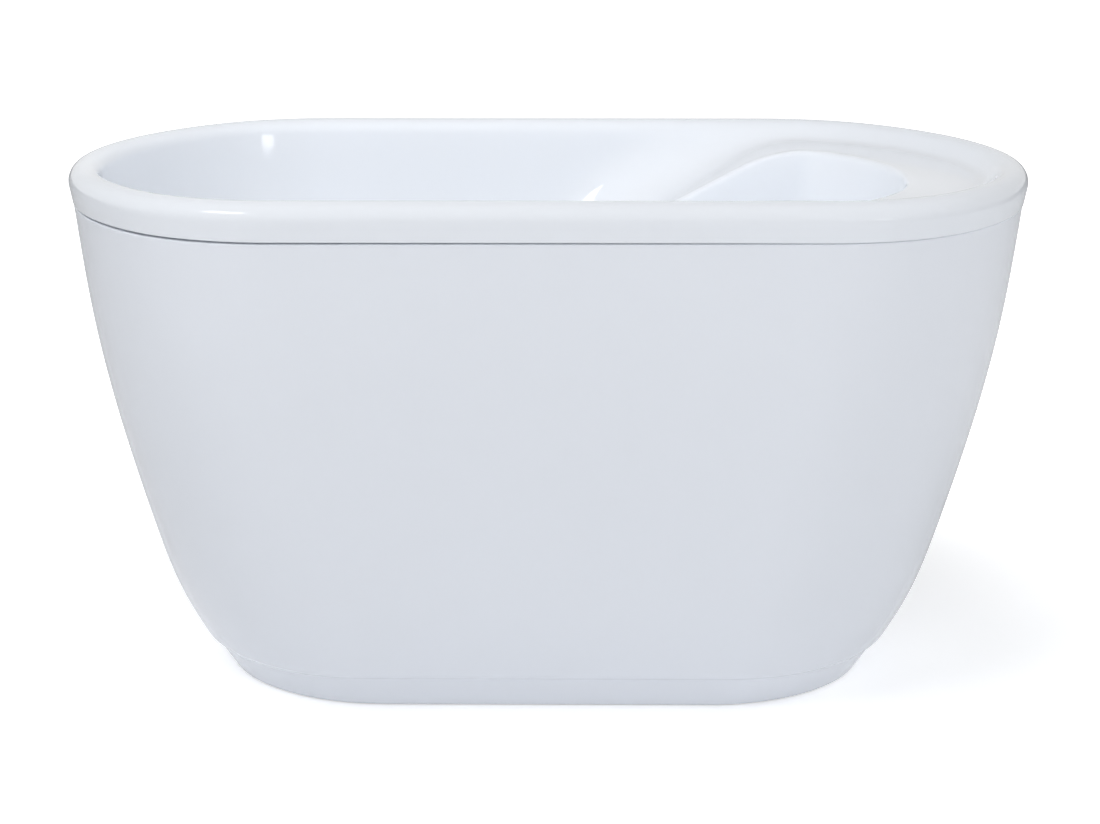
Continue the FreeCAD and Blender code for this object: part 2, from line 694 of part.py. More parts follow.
for end_word, inset in (("left", "leg_left_inset"), ("right", "leg_right_inset")):
    leg_x = "%s + %s" % (SEAT_FOOT, inset)
    for word, side in (("front", "-"), ("back", "")):
        square_tube(
            "seat_leg_%s_%s" % (end_word, word),
            "XY_Plane",
            LEG_LENGTH,
            x=leg_x,
            y=side + RAIL_Y,
            z="%s + %s / 2" % (FRAME_TOP, LEG_LENGTH),
        )
    square_tube(
        "seat_bearer_" + end_word,
        "XZ_Plane",
        CROSS_LENGTH + " + 2 * tube",
        x=leg_x,
        z=SEAT_BOARD_LOW + " - tube / 2",
    )

# Straps from under the rails out and down to the ledge inside the skirt's foot
LEDGE_Y = "(%s - plinth_step - skirt_skin + ledge_gap)" % BASE_SIDE
for end_word, sign in (("left", "-"), ("right", "")):
    for word, way in (("front", -1), ("back", 1)):
        label = "skirt_strap_%s_%s" % (end_word, word)
        strap = new_body(label)
        strap_side = new_sketch(strap, label + "_side", "YZ_Plane")
        near = "(%s - strap_land / 2)" % RAIL_Y
        far = "(%s + strap_land)" % RAIL_Y
        toe = "(%s + ledge_land)" % LEDGE_Y
        top = FRAME_LOW
        outline = (
            (near, top),
            (near, top + " - strap_thick"),
            (far, top + " - strap_thick"),
            (LEDGE_Y, LEDGE),
            (toe, LEDGE),
            (toe, LEDGE + " + strap_thick"),
            (LEDGE_Y, LEDGE + " + strap_thick"),
            (far, top),
        )
        polygon(strap_side, [("%d * %s" % (way, y), z) for y, z in outline])
        extrude(strap, strap_side, label + "_pad", "strap_width", both=True)
        strap_hole = new_sketch(strap, label + "_hole", offset=FRAME_LOW + " - tube")
        circle(strap_hole, "screw_radius", y="%d * %s" % (way, RAIL_Y))
        extrude(strap, strap_hole, label + "_cut", "2 * tube", cut=True, back=True)
        stand_at(strap, x=sign + STRAP_X)
        finished[label] = strap


def group(label):
    """A body that may hold several equal solids."""
    made = new_body(label)
    made.AllowCompound = True
    finished[label] = made
    return made


def each_corner(x):
    """The four places that share this distance from the middle, on the rails."""
    return [(sign + x, side + RAIL_Y) for sign in ("", "-") for side in ("", "-")]


# Screws: the strap screws into the rails, and the board screws up through the rails
strap_screws = group("strap_screws")
head_z = "(%s - strap_thick - screw_head_height)" % FRAME_LOW
strap_heads = new_sketch(strap_screws, "strap_heads", offset=head_z)
strap_shanks = new_sketch(strap_screws, "strap_shanks", offset=head_z)
for x, y in each_corner(STRAP_X):
    circle(strap_heads, "screw_head", x, y)
    circle(strap_shanks, "screw_radius", x, y)
extrude(strap_screws, strap_heads, "strap_head_pad", "screw_head_height")
extrude(strap_screws, strap_shanks, "strap_shank_pad", "screw_head_height + strap_thick + screw_bite")

board_screws = group("board_screws")
head_z = "(%s - screw_head_height)" % FRAME_LOW
board_heads = new_sketch(board_screws, "board_heads", offset=head_z)
board_shanks = new_sketch(board_screws, "board_shanks", offset=head_z)
for x in RAIL_SCREWS:
    for side in ("", "-"):
        circle(board_heads, "screw_head", x, side + RAIL_Y)
        circle(board_shanks, "screw_radius", x, side + RAIL_Y)
extrude(board_screws, board_heads, "board_head_pad", "screw_head_height")
extrude(board_screws, board_shanks, "board_shank_pad", "screw_head_height + tube + screw_bite")

# Levelling feet: nuts under the rails, and a stud with a pad that screws up and down in each
WELD_LOW = "(%s - weld_nut)" % FRAME_LOW
for label, low, height in (
    ("foot_weld_nuts", WELD_LOW, "weld_nut"),
    ("foot_lock_nuts", WELD_LOW + " - lock_nut", "lock_nut"),
):
    nuts = group(label)
    nut_plan = new_sketch(nuts, label + "_plan", offset=low)
    for x, y in each_corner(FOOT_X):
        hexagon(nut_plan, "nut_flats", x, y)
        circle(nut_plan, "stud_radius + running_gap", x, y)
    extrude(nuts, nut_plan, label + "_pad", height)
for end_word, sign in (("left", "-"), ("right", "")):
    for word, side in (("front", "-"), ("back", "")):
        name = "%s_%s" % (end_word, word)
        stud = new_body("foot_stud_" + name)
        collar = new_sketch(stud, "stud_collar_" + name, offset="pad_height")
        hexagon(collar, "stud_flats")
        extrude(stud, collar, "stud_collar_pad_" + name, "stud_collar")
        shank = new_sketch(stud, "stud_shank_" + name, offset="pad_height")
        circle(shank, "stud_radius")
        extrude(stud, shank, "stud_shank_pad_" + name, FRAME_TOP + " - tube_wall - stud_top_gap - pad_height")
        stand_at(stud, sign + FOOT_X, side + RAIL_Y)
        finished["foot_stud_" + name] = stud
        pad = new_body("foot_pad_" + name)
        disc = new_sketch(pad, "pad_disc_" + name)
        circle(disc, "pad_radius")
        extrude(pad, disc, "pad_pad_" + name, "pad_height")
        soften(pad, "pad_edge_" + name, "pad_round", lambda edge: level(edge, value("pad_height")))
        stand_at(pad, sign + FOOT_X, side + RAIL_Y)
        finished["foot_pad_" + name] = pad


def turned(label, outline):
    """A piece turned from a half outline of radii and heights."""
    made = new_body(label)
    half = new_sketch(made, label + "_half", "XZ_Plane")
    polygon(half, outline)
    turn(made, half, label + "_turn")
    finished[label] = made
    return made


def ring(inner, outer, low, high):
    """The half outline of a plain ring."""
    return ((inner, low), (outer, low), (outer, high), (inner, high))


# Waste fitting: a flange through the floor, screwed into the waste body against a gasket
SEAT_LOW = "(basin_floor - flange_recess)"
FLANGE_TOP = "(basin_floor - flange_recess + flange_thick)"
BORE = "(throat_radius - throat_wall)"
flange = turned(
    "drain_flange",
    (
        (BORE, "basin_floor - throat_length"),
        ("throat_radius", "basin_floor - throat_length"),
        ("throat_radius", SEAT_LOW),
        ("flange_radius", SEAT_LOW),
        ("flange_radius - flange_thick / 2", FLANGE_TOP),
        (BORE, FLANGE_TOP),
    ),
)
WEB_LOW = "(basin_floor - web_drop - web_thick)"
web = new_sketch(flange, "web", offset=WEB_LOW)
spoke = "(throat_radius - throat_wall / 2)"
rectangle(web, "-" + spoke, "-web_width / 2", spoke, "web_width / 2")
extrude(flange, web, "web_pad", "web_thick")
web_across = new_sketch(flange, "web_across", offset=WEB_LOW)
rectangle(web_across, "-web_width / 2", "-" + spoke, "web_width / 2", spoke)
extrude(flange, web_across, "web_across_pad", "web_thick")
hub = new_sketch(flange, "hub", offset=WEB_LOW)
circle(hub, "cartridge_radius + web_thick / 2")
extrude(flange, hub, "hub_pad", "web_thick")
hub_bore = new_sketch(flange, "hub_bore", offset=WEB_LOW)
circle(hub_bore, "cartridge_radius")
extrude(flange, hub_bore, "hub_cut", "web_thick", cut=True, back=True)
stand_at(flange, x=DRAIN_X)
GASKET_LOW = "(basin_floor - acrylic - gasket_thick)"
stand_at(turned("drain_gasket", ring("throat_radius", "gasket_radius", GASKET_LOW, UNDER)), x=DRAIN_X)
COLLAR_LOW = "(%s - waste_collar)" % GASKET_LOW
waste = turned(
    "drain_body",
    (
        ("throat_radius", GASKET_LOW),
        ("throat_radius", COLLAR_LOW),
        ("waste_radius - waste_wall", COLLAR_LOW),
        ("waste_radius - waste_wall", "waste_floor + waste_wall"),
        ("outlet_radius - outlet_wall", "waste_floor + waste_wall"),
        ("outlet_radius - outlet_wall", "outlet_end"),
        ("outlet_radius", "outlet_end"),
        ("outlet_radius", "waste_floor"),
        ("waste_radius", "waste_floor"),
        ("waste_radius", COLLAR_LOW),
        ("gasket_radius", COLLAR_LOW),
        ("gasket_radius", GASKET_LOW),
    ),
)
INLET_X = "(-waste_radius - inlet_length)"
inlet = new_sketch(waste, "inlet", "YZ_Plane", INLET_X)
circle(inlet, "pipe_radius + socket_wall", y="inlet_height")
extrude(waste, inlet, "inlet_pad", "inlet_length + waste_wall")
inlet_bore = new_sketch(waste, "inlet_bore", "YZ_Plane", INLET_X)
circle(inlet_bore, "pipe_radius - pipe_wall", y="inlet_height")
extrude(waste, inlet_bore, "inlet_cut", "inlet_length + waste_radius", cut=True, back=True)
inlet_socket = new_sketch(waste, "inlet_socket", "YZ_Plane", INLET_X)
circle(inlet_socket, "pipe_radius", y="inlet_height")
extrude(waste, inlet_socket, "inlet_socket_cut", "inlet_length - pipe_wall", cut=True, back=True)
stand_at(waste, x=DRAIN_X)

# Stopper: a cap on a stem that slides in the cartridge held by the flange's web
CARTRIDGE_LOW = "(basin_floor - cartridge_drop - web_thick)"
CAP_LOW = "(%s + stopper_gap + seal_thick)" % FLANGE_TOP
sleeve = ring("stem_radius + running_gap", "cartridge_radius", CARTRIDGE_LOW, "basin_floor - flange_recess")
stand_at(turned("stopper_cartridge", sleeve), x=DRAIN_X)
CAP_CROWN = tuple(
    ("cap_radius * %s" % out, CAP_LOW + " + cap_edge + (cap_rise - cap_edge) * %s" % up)
    for out, up in zip(CAP_RADIUS_SHARES, CAP_HEIGHT_SHARES)
)
cap = turned(
    "stopper_cap",
    (
        ("0", CARTRIDGE_LOW + " + stem_gap"),
        ("stem_radius", CARTRIDGE_LOW + " + stem_gap"),
        ("stem_radius", CAP_LOW),
        ("cap_radius", CAP_LOW),
        ("cap_radius", CAP_LOW + " + cap_edge"),
    )
    + CAP_CROWN
    + (("0", CAP_LOW + " + cap_rise"),),
)
stand_at(cap, x=DRAIN_X)
seal = ring("seal_inner", "seal_radius", FLANGE_TOP + " + stopper_gap", CAP_LOW)
stand_at(turned("stopper_seal", seal), x=DRAIN_X)

# Overflow: a cover stood off the boss inside, screwed to a chamber behind the wall
GASKET_BACK = "(%s + wall_gasket)" % BOSS_BACK
CHAMBER_BACK = "(%s + chamber_depth)" % GASKET_BACK
COVER_LOW = "(boss_front + cover_stand)"
HUB_RADIUS = "(2 * screw_radius + cover_wall)"
cover = turned(
    "overflow_cover",
    (
        ("screw_radius", "-" + GASKET_BACK),
        (HUB_RADIUS, "-" + GASKET_BACK),
        (HUB_RADIUS, COVER_LOW + " + cover_thick - cover_wall"),
        ("cover_radius - cover_wall", COVER_LOW + " + cover_thick - 2 * cover_wall"),
        ("cover_radius - cover_wall", COVER_LOW),
        ("cover_radius", COVER_LOW),
        ("cover_radius", COVER_LOW + " + cover_thick - 2 * cover_wall"),
        ("cover_radius - 2 * cover_wall", COVER_LOW + " + cover_thick"),
        ("screw_radius", COVER_LOW + " + cover_thick"),
    ),
)
face_wall(cover)
washer = ring("overflow_bore", "chamber_radius", "-" + GASKET_BACK, "-" + BOSS_BACK)
face_wall(turned("overflow_gasket", washer))
chamber = turned(
    "overflow_body",
    (
        ("screw_radius", "-" + CHAMBER_BACK),
        ("chamber_radius", "-" + CHAMBER_BACK),
        ("chamber_radius", "-" + GASKET_BACK),
        ("chamber_radius - chamber_wall", "-" + GASKET_BACK),
        ("chamber_radius - chamber_wall", "-(%s - chamber_wall)" % CHAMBER_BACK),
        (HUB_RADIUS, "-(%s - chamber_wall)" % CHAMBER_BACK),
        (HUB_RADIUS, "-" + GASKET_BACK),
        ("screw_radius", "-" + GASKET_BACK),
    ),
)
SPIGOT_Z = "(-(%s + %s) / 2)" % (GASKET_BACK, CHAMBER_BACK)
PIPE_START = "(boss_radius + pipe_wall)"
spigot = new_sketch(chamber, "spigot", "YZ_Plane", "chamber_radius - 2 * chamber_wall")
circle(spigot, "spigot_radius", y=SPIGOT_Z)
extrude(chamber, spigot, "spigot_pad", PIPE_START + " + socket_length - chamber_radius + 2 * chamber_wall")
spigot_bore = new_sketch(chamber, "spigot_bore", "YZ_Plane", "chamber_radius - 4 * chamber_wall")
circle(spigot_bore, "spigot_radius - spigot_wall", y=SPIGOT_Z)
extrude(chamber, spigot_bore, "spigot_cut", PIPE_START + " + socket_length", cut=True, back=True)
face_wall(chamber)
overflow_screw = turned(
    "overflow_screw",
    (
        ("0", "-" + CHAMBER_BACK),
        ("screw_radius", "-" + CHAMBER_BACK),
        ("screw_radius", COVER_LOW + " + cover_thick"),
        ("screw_head", COVER_LOW + " + cover_thick"),
        ("screw_head", COVER_LOW + " + cover_thick + screw_head_height / 2"),
        ("0", COVER_LOW + " + cover_thick + screw_head_height"),
    ),
)
face_wall(overflow_screw)


# Overflow pipe: down the space between the shells, round under the floor and into the waste body
def rounded_path(corners, radii):
    """A path of straight runs joined by tangent arcs."""
    pieces = []
    here = corners[0]
    for before, corner, after, radius in zip(corners, corners[1:], corners[2:], radii):
        back = (before - corner).normalize()
        ahead = (after - corner).normalize()
        half = back.getAngle(ahead) / 2
        reach = radius / math.tan(half)
        inward = (back + ahead).normalize()
        middle = corner + inward * (radius / math.sin(half) - radius)
        pieces.append(Part.makeLine(here, corner + back * reach))
        here = corner + ahead * reach
        pieces.append(Part.Arc(corner + back * reach, middle, here).toShape())
    pieces.append(Part.makeLine(here, corners[-1]))
    return Part.Wire(pieces)


wall_frame = chamber.Placement
start = wall_frame.multVec(FreeCAD.Vector(value(PIPE_START), 0, value(SPIGOT_Z)))
down = wall_frame.Rotation.multVec(FreeCAD.Vector(1, 0, 0))
knee = start + down * value("pipe_drop")
wall_inset = "rim_roll + basin_taper * %s" % BASIN_INSET_SHARES[1]
wall_x = "-(%s - (%s) + acrylic + pipe_radius + pipe_gap)" % (HALF, wall_inset)
wall_z = "basin_floor + (%s - basin_floor) * %s" % (SPRING, BASIN_HEIGHT_SHARES[1])
low_point = FreeCAD.Vector(value(wall_x), 0, value(wall_z))
run = low_point - knee
bend = knee + run * ((value("inlet_height") - knee.z) / run.z)
finish = FreeCAD.Vector(value(DRAIN_X + " - waste_radius - pipe_wall"), 0, value("inlet_height"))
route = rounded_path([start, knee, bend, finish], [value("pipe_knee"), value("pipe_bend")])
section = Part.Wire(Part.makeCircle(value("pipe_radius"), start, down))
bore = Part.Wire(Part.makeCircle(value("pipe_radius - pipe_wall"), start, down))
pipe = doc.addObject("Part::Feature", "overflow_pipe")
pipe.Shape = route.makePipeShell([section], True, True).cut(route.makePipeShell([bore], True, True))
finished["overflow_pipe"] = pipe

doc.recompute()
os.makedirs("parts", exist_ok=True)
for label, thing in finished.items():
    thing.Label = label
    if thing.Shape.isNull() or not thing.Shape.isValid():
        raise ValueError("%s did not build" % label)
for thing in doc.Objects:
    if "Invalid" in thing.State or "Error" in thing.State:
        raise ValueError("%s did not build" % thing.Label)
for label, thing in finished.items():
    thing.Shape.exportStep("parts/%s.step" % label)
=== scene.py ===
# %% [markdown]
# # A sit-in bathtub in white acrylic
# The real tub is two drawn sheets of acrylic: a basin with a rolled rim, a seat and a deck, and a
# skirt that it hangs in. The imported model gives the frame, the fittings and every size. This lesson
# dresses it: the two sheets are drawn again as smooth skins, the fittings that show are turned on a
# lathe, and every piece gets a finish made from nodes.

import math

import bmesh
import bpy
import numpy as np
from mathutils import Matrix, Vector


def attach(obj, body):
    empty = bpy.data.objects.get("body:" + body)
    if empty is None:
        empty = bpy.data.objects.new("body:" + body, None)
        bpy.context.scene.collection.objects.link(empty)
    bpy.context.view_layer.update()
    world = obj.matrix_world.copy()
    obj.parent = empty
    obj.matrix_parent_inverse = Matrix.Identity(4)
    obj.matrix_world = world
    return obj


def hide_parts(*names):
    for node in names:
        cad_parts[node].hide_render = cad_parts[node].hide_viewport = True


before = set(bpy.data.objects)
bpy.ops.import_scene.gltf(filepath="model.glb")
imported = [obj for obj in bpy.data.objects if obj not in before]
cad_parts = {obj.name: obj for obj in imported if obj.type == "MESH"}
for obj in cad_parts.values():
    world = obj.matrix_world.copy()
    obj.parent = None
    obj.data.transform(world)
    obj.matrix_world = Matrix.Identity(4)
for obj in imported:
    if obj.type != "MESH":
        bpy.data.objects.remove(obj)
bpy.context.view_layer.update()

# %% [markdown]
# ## Sizes
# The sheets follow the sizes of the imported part, in millimetres. A tub is long, with two straight
# sides and two rounded ends, and every level cut through it has that outline, so a cut needs only
# three numbers: half its length, half its width and the length of its rounded end.

# %% Sizes of the tub
MM = 0.001
HALF, SIDE, END, HEIGHT = 600, 350, 291, 680
ROLL, LIP_HEIGHT, SHEET = 40, 44, 6
FLOOR, TAPER, BASIN_END, BASIN_ROUND = 115, 128, 205, 45
SIDE_SHARE = 0.934
SPRING = HEIGHT - ROLL / 2
LIP = HEIGHT - LIP_HEIGHT
ROOT = math.sqrt(0.5)
LIP_SLOPE = 0.16
LIP_LEAN = math.hypot(1, LIP_SLOPE)
LIP_IN = ROLL / 2 * (1 - LIP_LEAN) + (SPRING - LIP) * LIP_SLOPE
LIP_BACK = LIP_IN + SHEET * LIP_LEAN
print("rim springs at", SPRING, "and its lip ends at", LIP, "set in by", round(LIP_IN, 2))

# %% [markdown]
# ## The outline
# Each quarter of a rounded end is two arcs that meet at half a right angle. A station is a place on
# that outline: the way the edge faces there, and how far along the straight it lies. The same station
# on a smaller outline lies straight inward of the first, so rings drawn through the same stations
# line up, and the skin between them has no twist.

# %% Stations round the outline
FINE = 20001


def end_arcs(half_width, end):
    """Radii of the corner arc and of the crown arc of a rounded end."""
    return (1 + ROOT) * end - ROOT * half_width, (1 + ROOT) * half_width - ROOT * end


def spread_stations(count, crowding):
    """Stations for half the outline, from the seat end round to the foot end, crowded where asked."""
    corner, crown = end_arcs(SIDE, END)
    quarter = math.pi / 4
    turns = np.array([0, 1, 2, 2, 3, 4]) * quarter
    runs = np.array([1, 1, 1, -1, -1, -1], float)
    arcs = [crown * quarter, corner * quarter]
    lengths = np.array(arcs + [2 * (HALF - END)] + arcs[::-1])
    far = np.concatenate([[0], np.cumsum(lengths)])
    fine = np.linspace(0, far[-1], FINE)
    turn, run = np.interp(fine, far, turns), np.interp(fine, far, runs)
    along = oval((turn, run), HALF, SIDE, END)[:, 0]
    weight = np.interp(along, *crowding)
    grown = np.concatenate([[0], np.cumsum((weight[1:] + weight[:-1]) / 2)])
    wanted = np.linspace(0, grown[-1], count // 2 + 1)
    return np.interp(wanted, grown, turn), np.interp(wanted, grown, run)


def oval(stations, half_length, half_width, end):
    """Plan points of the outline, one for each station."""
    turn, run = stations
    corner, crown = end_arcs(half_width, end)
    across, up = np.abs(np.cos(turn)), np.abs(np.sin(turn))
    on_crown = across > ROOT
    out = np.where(on_crown, end - crown + crown * across, corner * across)
    wide = np.where(on_crown, crown * up, half_width - corner + corner * up)
    return np.stack([run * (half_length - end) + np.sign(run) * out, np.sign(np.sin(turn)) * wide], axis=1)


def whole(half_ring):
    """The full ring from its half at +Y: the other half is its mirror image."""
    other = half_ring[-2:0:-1] * np.array([1, -1, 1])
    return np.concatenate([half_ring, other])


def ring(stations, half_length, half_width, end, height):
    """A level ring of points on the outline."""
    flat = oval(stations, half_length, half_width, end)
    return whole(np.column_stack([flat, np.full(len(flat), float(height))]))


# %% [markdown]
# ## Drawing a skin
# A loop of edges is drawn out through ring after ring, which is what an extrusion of edges does, and
# the new loop is laid on the next ring. Where two faces meet, the corner is rounded by a few rings on
# a curve between them, because a drawn sheet has no sharp edge.


# %% Draw a skin through rings
def draw_skin(shape, rings):
    """Draws a loop through the rings and returns its first and its last loop of edges."""
    spots = bmesh.ops.create_circle(shape, segments=len(rings[0]), radius=1)["verts"]
    first = edges = list({edge for spot in spots for edge in spot.link_edges})
    for spot, place in zip(spots, rings[0]):
        spot.co = Vector(place) * MM
    for points in rings[1:]:
        drawn = bmesh.ops.extrude_edge_only(shape, edges=edges)["geom"]
        fresh = {item for item in drawn if isinstance(item, bmesh.types.BMVert)}
        edges = [item for item in drawn if isinstance(item, bmesh.types.BMEdge)]
        edges = [edge for edge in edges if edge.verts[0] in fresh and edge.verts[1] in fresh]
        spots = [next(e.other_vert(s) for e in s.link_edges if e.other_vert(s) in fresh) for s in spots]
        for spot, place in zip(spots, points):
            spot.co = Vector(place) * MM
    return first, edges


def round_corner(before, corner, after, reach, steps):
    """Rings on a smooth turn from one ring to the next, reaching this far either side of the corner."""
    back, ahead = before - corner, after - corner
    start = corner + back * np.minimum(1, reach / np.linalg.norm(back, axis=1, keepdims=True))
    finish = corner + ahead * np.minimum(1, reach / np.linalg.norm(ahead, axis=1, keepdims=True))
    shares = np.linspace(0, 1, steps + 1)
    return [(1 - t) ** 2 * start + 2 * t * (1 - t) * corner + t * t * finish for t in shares]


def smooth_line(places, values):
    """A natural cubic through a few values, as a function of the place."""
    places, values = np.asarray(places, float), np.asarray(values, float)
    gaps, rises = np.diff(places), np.diff(values) / np.diff(places)
    matrix = np.eye(len(places))
    right = np.zeros(len(places))
    for i in range(1, len(places) - 1):
        matrix[i, i - 1 : i + 2] = gaps[i - 1], 2 * (gaps[i - 1] + gaps[i]), gaps[i]
        right[i] = 6 * (rises[i] - rises[i - 1])
    bends = np.linalg.solve(matrix, right)

    def height(where):
        i = np.clip(np.searchsorted(places, where) - 1, 0, len(gaps) - 1)
        a, b = places[i + 1] - where, where - places[i]
        cubic = (bends[i] * a**3 + bends[i + 1] * b**3) / (6 * gaps[i])
        return cubic + (values[i] / gaps[i] - bends[i] * gaps[i] / 6) * a + (
            values[i + 1] / gaps[i] - bends[i + 1] * gaps[i] / 6
        ) * b

    return height


def finish_piece(name, shape, body, material, nodes=()):
    """Makes the mesh a piece of the tub: on its body, in its finish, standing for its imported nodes."""
    mesh = bpy.data.meshes.new(name)
    shape.to_mesh(mesh)
    shape.free()
    mesh.polygons.foreach_set("use_smooth", [True] * len(mesh.polygons))
    piece = bpy.data.objects.new(name, mesh)
    bpy.context.scene.collection.objects.link(piece)
    mesh.materials.append(material)
    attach(piece, body)
    if nodes:
        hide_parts(*nodes)
    print(name, "faces:", len(mesh.polygons))


# %% [markdown]
# ## Nodes for the finishes
# A finish is a tree of nodes. One function adds a node with its settings, its values and its links.
# Colours are written as they look on a screen, in hex, and one function turns them to linear light.


# %% Helpers for the finishes
def shade(code):
    """Linear colour from an sRGB hex code."""
    parts = [int(code[i : i + 2], 16) / 255 for i in (1, 3, 5)]
    return tuple(p / 12.92 if p <= 0.04045 else ((p + 0.055) / 1.055) ** 2.4 for p in parts) + (1.0,)


def add_node(tree, kind, options=(), values=(), links=()):
    """Adds a node: options are its settings, values its sockets, links what feeds them."""
    made = tree.nodes.new(kind)
    for name, setting in dict(options).items():
        setattr(made, name, setting)
    for name, number in dict(values).items():
        made.inputs[name].default_value = number
    for name, (source, output) in dict(links).items():
        tree.links.new(source.outputs[output], made.inputs[name])
    return made


def new_finish(name):
    """An empty material with its tree, its shader and a node that gives place on the piece."""
    material = bpy.data.materials.new(name)
    material.use_nodes = True
    tree = material.node_tree
    tree.nodes.clear()
    shader = add_node(tree, "ShaderNodeBsdfPrincipled")
    add_node(tree, "ShaderNodeOutputMaterial", links={"Surface": (shader, "BSDF")})
    place = add_node(tree, "ShaderNodeTexCoord")
    return material, tree, shader, place


# %% [markdown]
# ## White acrylic
# The tub is cast acrylic (PMMA), drawn hot over a mould and polished. To the eye it is a cool white
# with a clear, wet-looking gloss. The heat leaves a very faint ripple, a centimetre or so from crest
# to crest, which makes reflections breathe, and cloths leave hair-fine marks that soften the gloss.

# %% White acrylic
CLOUD, WIPE, RIPPLE, RIPPLE_RISE = 260, 35, 14, 0.06
DULLED, WIPED, SMEARED = 0.985, 0.02, 0.03


def drawn_acrylic(name, code, gloss):
    """Polished white acrylic sheet."""
    material, tree, shader, place = new_finish(name)
    cloud = add_node(
        tree,
        "ShaderNodeTexNoise",
        values={"Scale": 1000 / CLOUD, "Detail": 3.0, "Roughness": 0.5},
        links={"Vector": (place, "Object")},
    )
    dull = tuple(DULLED * c for c in shade(code)[:3]) + (1.0,)
    tint = add_node(
        tree, "ShaderNodeMix", {"data_type": "RGBA"}, {6: shade(code), 7: dull}, {0: (cloud, "Fac")}
    )
    tree.links.new(tint.outputs[2], shader.inputs["Base Color"])
    wipe = add_node(
        tree,
        "ShaderNodeTexNoise",
        values={"Scale": 1000 / WIPE, "Detail": 6.0, "Roughness": 0.7},
        links={"Vector": (place, "Object")},
    )
    rough = add_node(
        tree,
        "ShaderNodeMapRange",
        values={"From Min": 0.3, "From Max": 0.7, "To Min": gloss - WIPED, "To Max": gloss + SMEARED},
        links={"Value": (wipe, "Fac")},
    )
    tree.links.new(rough.outputs["Result"], shader.inputs["Roughness"])
    ripple = add_node(
        tree,
        "ShaderNodeTexNoise",
        values={"Scale": 1000 / RIPPLE, "Detail": 1.0, "Roughness": 0.4},
        links={"Vector": (place, "Object")},
    )
    bump = add_node(
        tree,
        "ShaderNodeBump",
        values={"Strength": 0.25, "Distance": RIPPLE_RISE * MM},
        links={"Height": (ripple, "Fac")},
    )
    tree.links.new(bump.outputs["Normal"], shader.inputs["Normal"])
    shader.inputs["IOR"].default_value = 1.49
    return material


# Both sheets are the same acrylic. The basin's copy is a shade lighter: painted light, standing for the
# brighter light inside the basin.
basin_acrylic = drawn_acrylic("polished white acrylic, basin", "#EBEFF5", 0.06)
skirt_acrylic = drawn_acrylic("polished white acrylic, skirt", "#E8ECF3", 0.08)
print("acrylic finishes made")

# %% [markdown]
# ## The basin as a distance
# The basin has walls, a floor, a deck, two sloping arms and a scooped seat. All of it was drawn from
# one sheet, so every edge is a smooth blend. A function that says how deep a point lies in the sheet
# makes that easy: one for each face, joined by a rounded "most" where two faces meet in a hollow, and
# by a rounded "least" where they meet on a crest.


# %% Depth in the walls and the rim
BASIN_HEIGHT_SHARES = (0, 0.1156, 0.3945, 0.67, 0.89, 1)
BASIN_INSET_SHARES = (1, 0.82, 0.484, 0.211, 0.047, 0)
basin_inset = smooth_line(BASIN_HEIGHT_SHARES, BASIN_INSET_SHARES)


def hollow(a, b, radius):
    """The more of two depths, with the hollow between the faces rounded."""
    reach = np.hypot(np.maximum(radius + a, 0), np.maximum(radius + b, 0))
    return np.minimum(-radius, np.maximum(a, b)) + reach


def crest(a, b, radius):
    """The less of two depths, with the crest between the faces rounded."""
    reach = np.hypot(np.maximum(radius - a, 0), np.maximum(radius - b, 0))
    return np.maximum(radius, np.minimum(a, b)) - reach


def past_end(x, y, half_width, end):
    """Plan distance from a straight run along X that ends in a rounded end; x counts from its end."""
    corner, crown = end_arcs(half_width, end)
    up = y - (half_width - corner)
    on_corner = np.hypot(x, up) - corner
    on_crown = np.hypot(x - (end - crown), y) - crown
    return np.where(x < 0, y - half_width, np.where(x < up, on_corner, on_crown))


def wall_depth(x, y, z):
    """Depth of a point in the wall, or above the spring line in the rim's roll."""
    share = np.clip((z - FLOOR) / (SPRING - FLOOR), 0, 1)
    inset = basin_inset(share)
    step = 0.01
    lean = TAPER * (basin_inset(np.minimum(share + step, 1)) - basin_inset(np.maximum(share - step, 0)))
    lean = lean / (2 * step * (SPRING - FLOOR))
    half_width = SIDE - ROLL - TAPER * SIDE_SHARE * inset
    end = (END - ROLL) * (1 - inset) + BASIN_END * inset
    straight = HALF - ROLL - TAPER * inset - end
    wall = past_end(np.abs(x) - straight, np.abs(y), half_width, end) / np.hypot(1, lean)
    from_edge = -past_end(np.abs(x) - (HALF - END), np.abs(y), SIDE, END)
    roll = ROLL / 2 - np.hypot(from_edge - ROLL / 2, z - SPRING)
    return np.where(z > SPRING, roll, wall)


# %% [markdown]
# ## The seat
# The seat block is a side view carried across the tub: a level deck, a slope that the arms follow and
# a steep front. The scoop is cut into it, with a rounded pan and a back that leans. The arms run into
# the wall in wide, soft hollows, and the hollow round the deck is narrower.

# %% Depth in the seat
DECK_DROP, SEAT = 25, 340
DECK = HEIGHT - DECK_DROP
DECK_RUN, RAMP_RUN, RAMP_FALL, FRONT_RUN = 289, 233, 123, 74
RAMP_ROUND, FRONT_ROUND = 190, 110
SCOOP_HALF, SCOOP_END, SCOOP_REACH, SCOOP_DRAFT, BACK_LEAN, SEAT_ROUND = 190, 104, 146, 15, 59, 40
ARM_EDGE, PAN_EDGE = 6, 28
deck_corner = np.array([HALF - DECK_RUN, DECK], float)
front_corner = deck_corner - np.array([RAMP_RUN, RAMP_FALL])
front_foot = np.array([front_corner[0] - FRONT_RUN, FLOOR])


def unit(vector):
    """The same direction, one long."""
    return vector / np.linalg.norm(vector)


ramp_way, front_way = unit(front_corner - deck_corner), unit(front_foot - front_corner)
deck_face = np.array([0.0, 1.0])
ramp_face = np.array([ramp_way[1], -ramp_way[0]])
front_face = np.array([front_way[1], -front_way[0]])


def round_centre(corner, face, next_face, radius):
    """Centre of the arc that rounds a corner of the side view."""
    middle = unit(face + next_face)
    return corner - middle * radius / float(middle @ face)


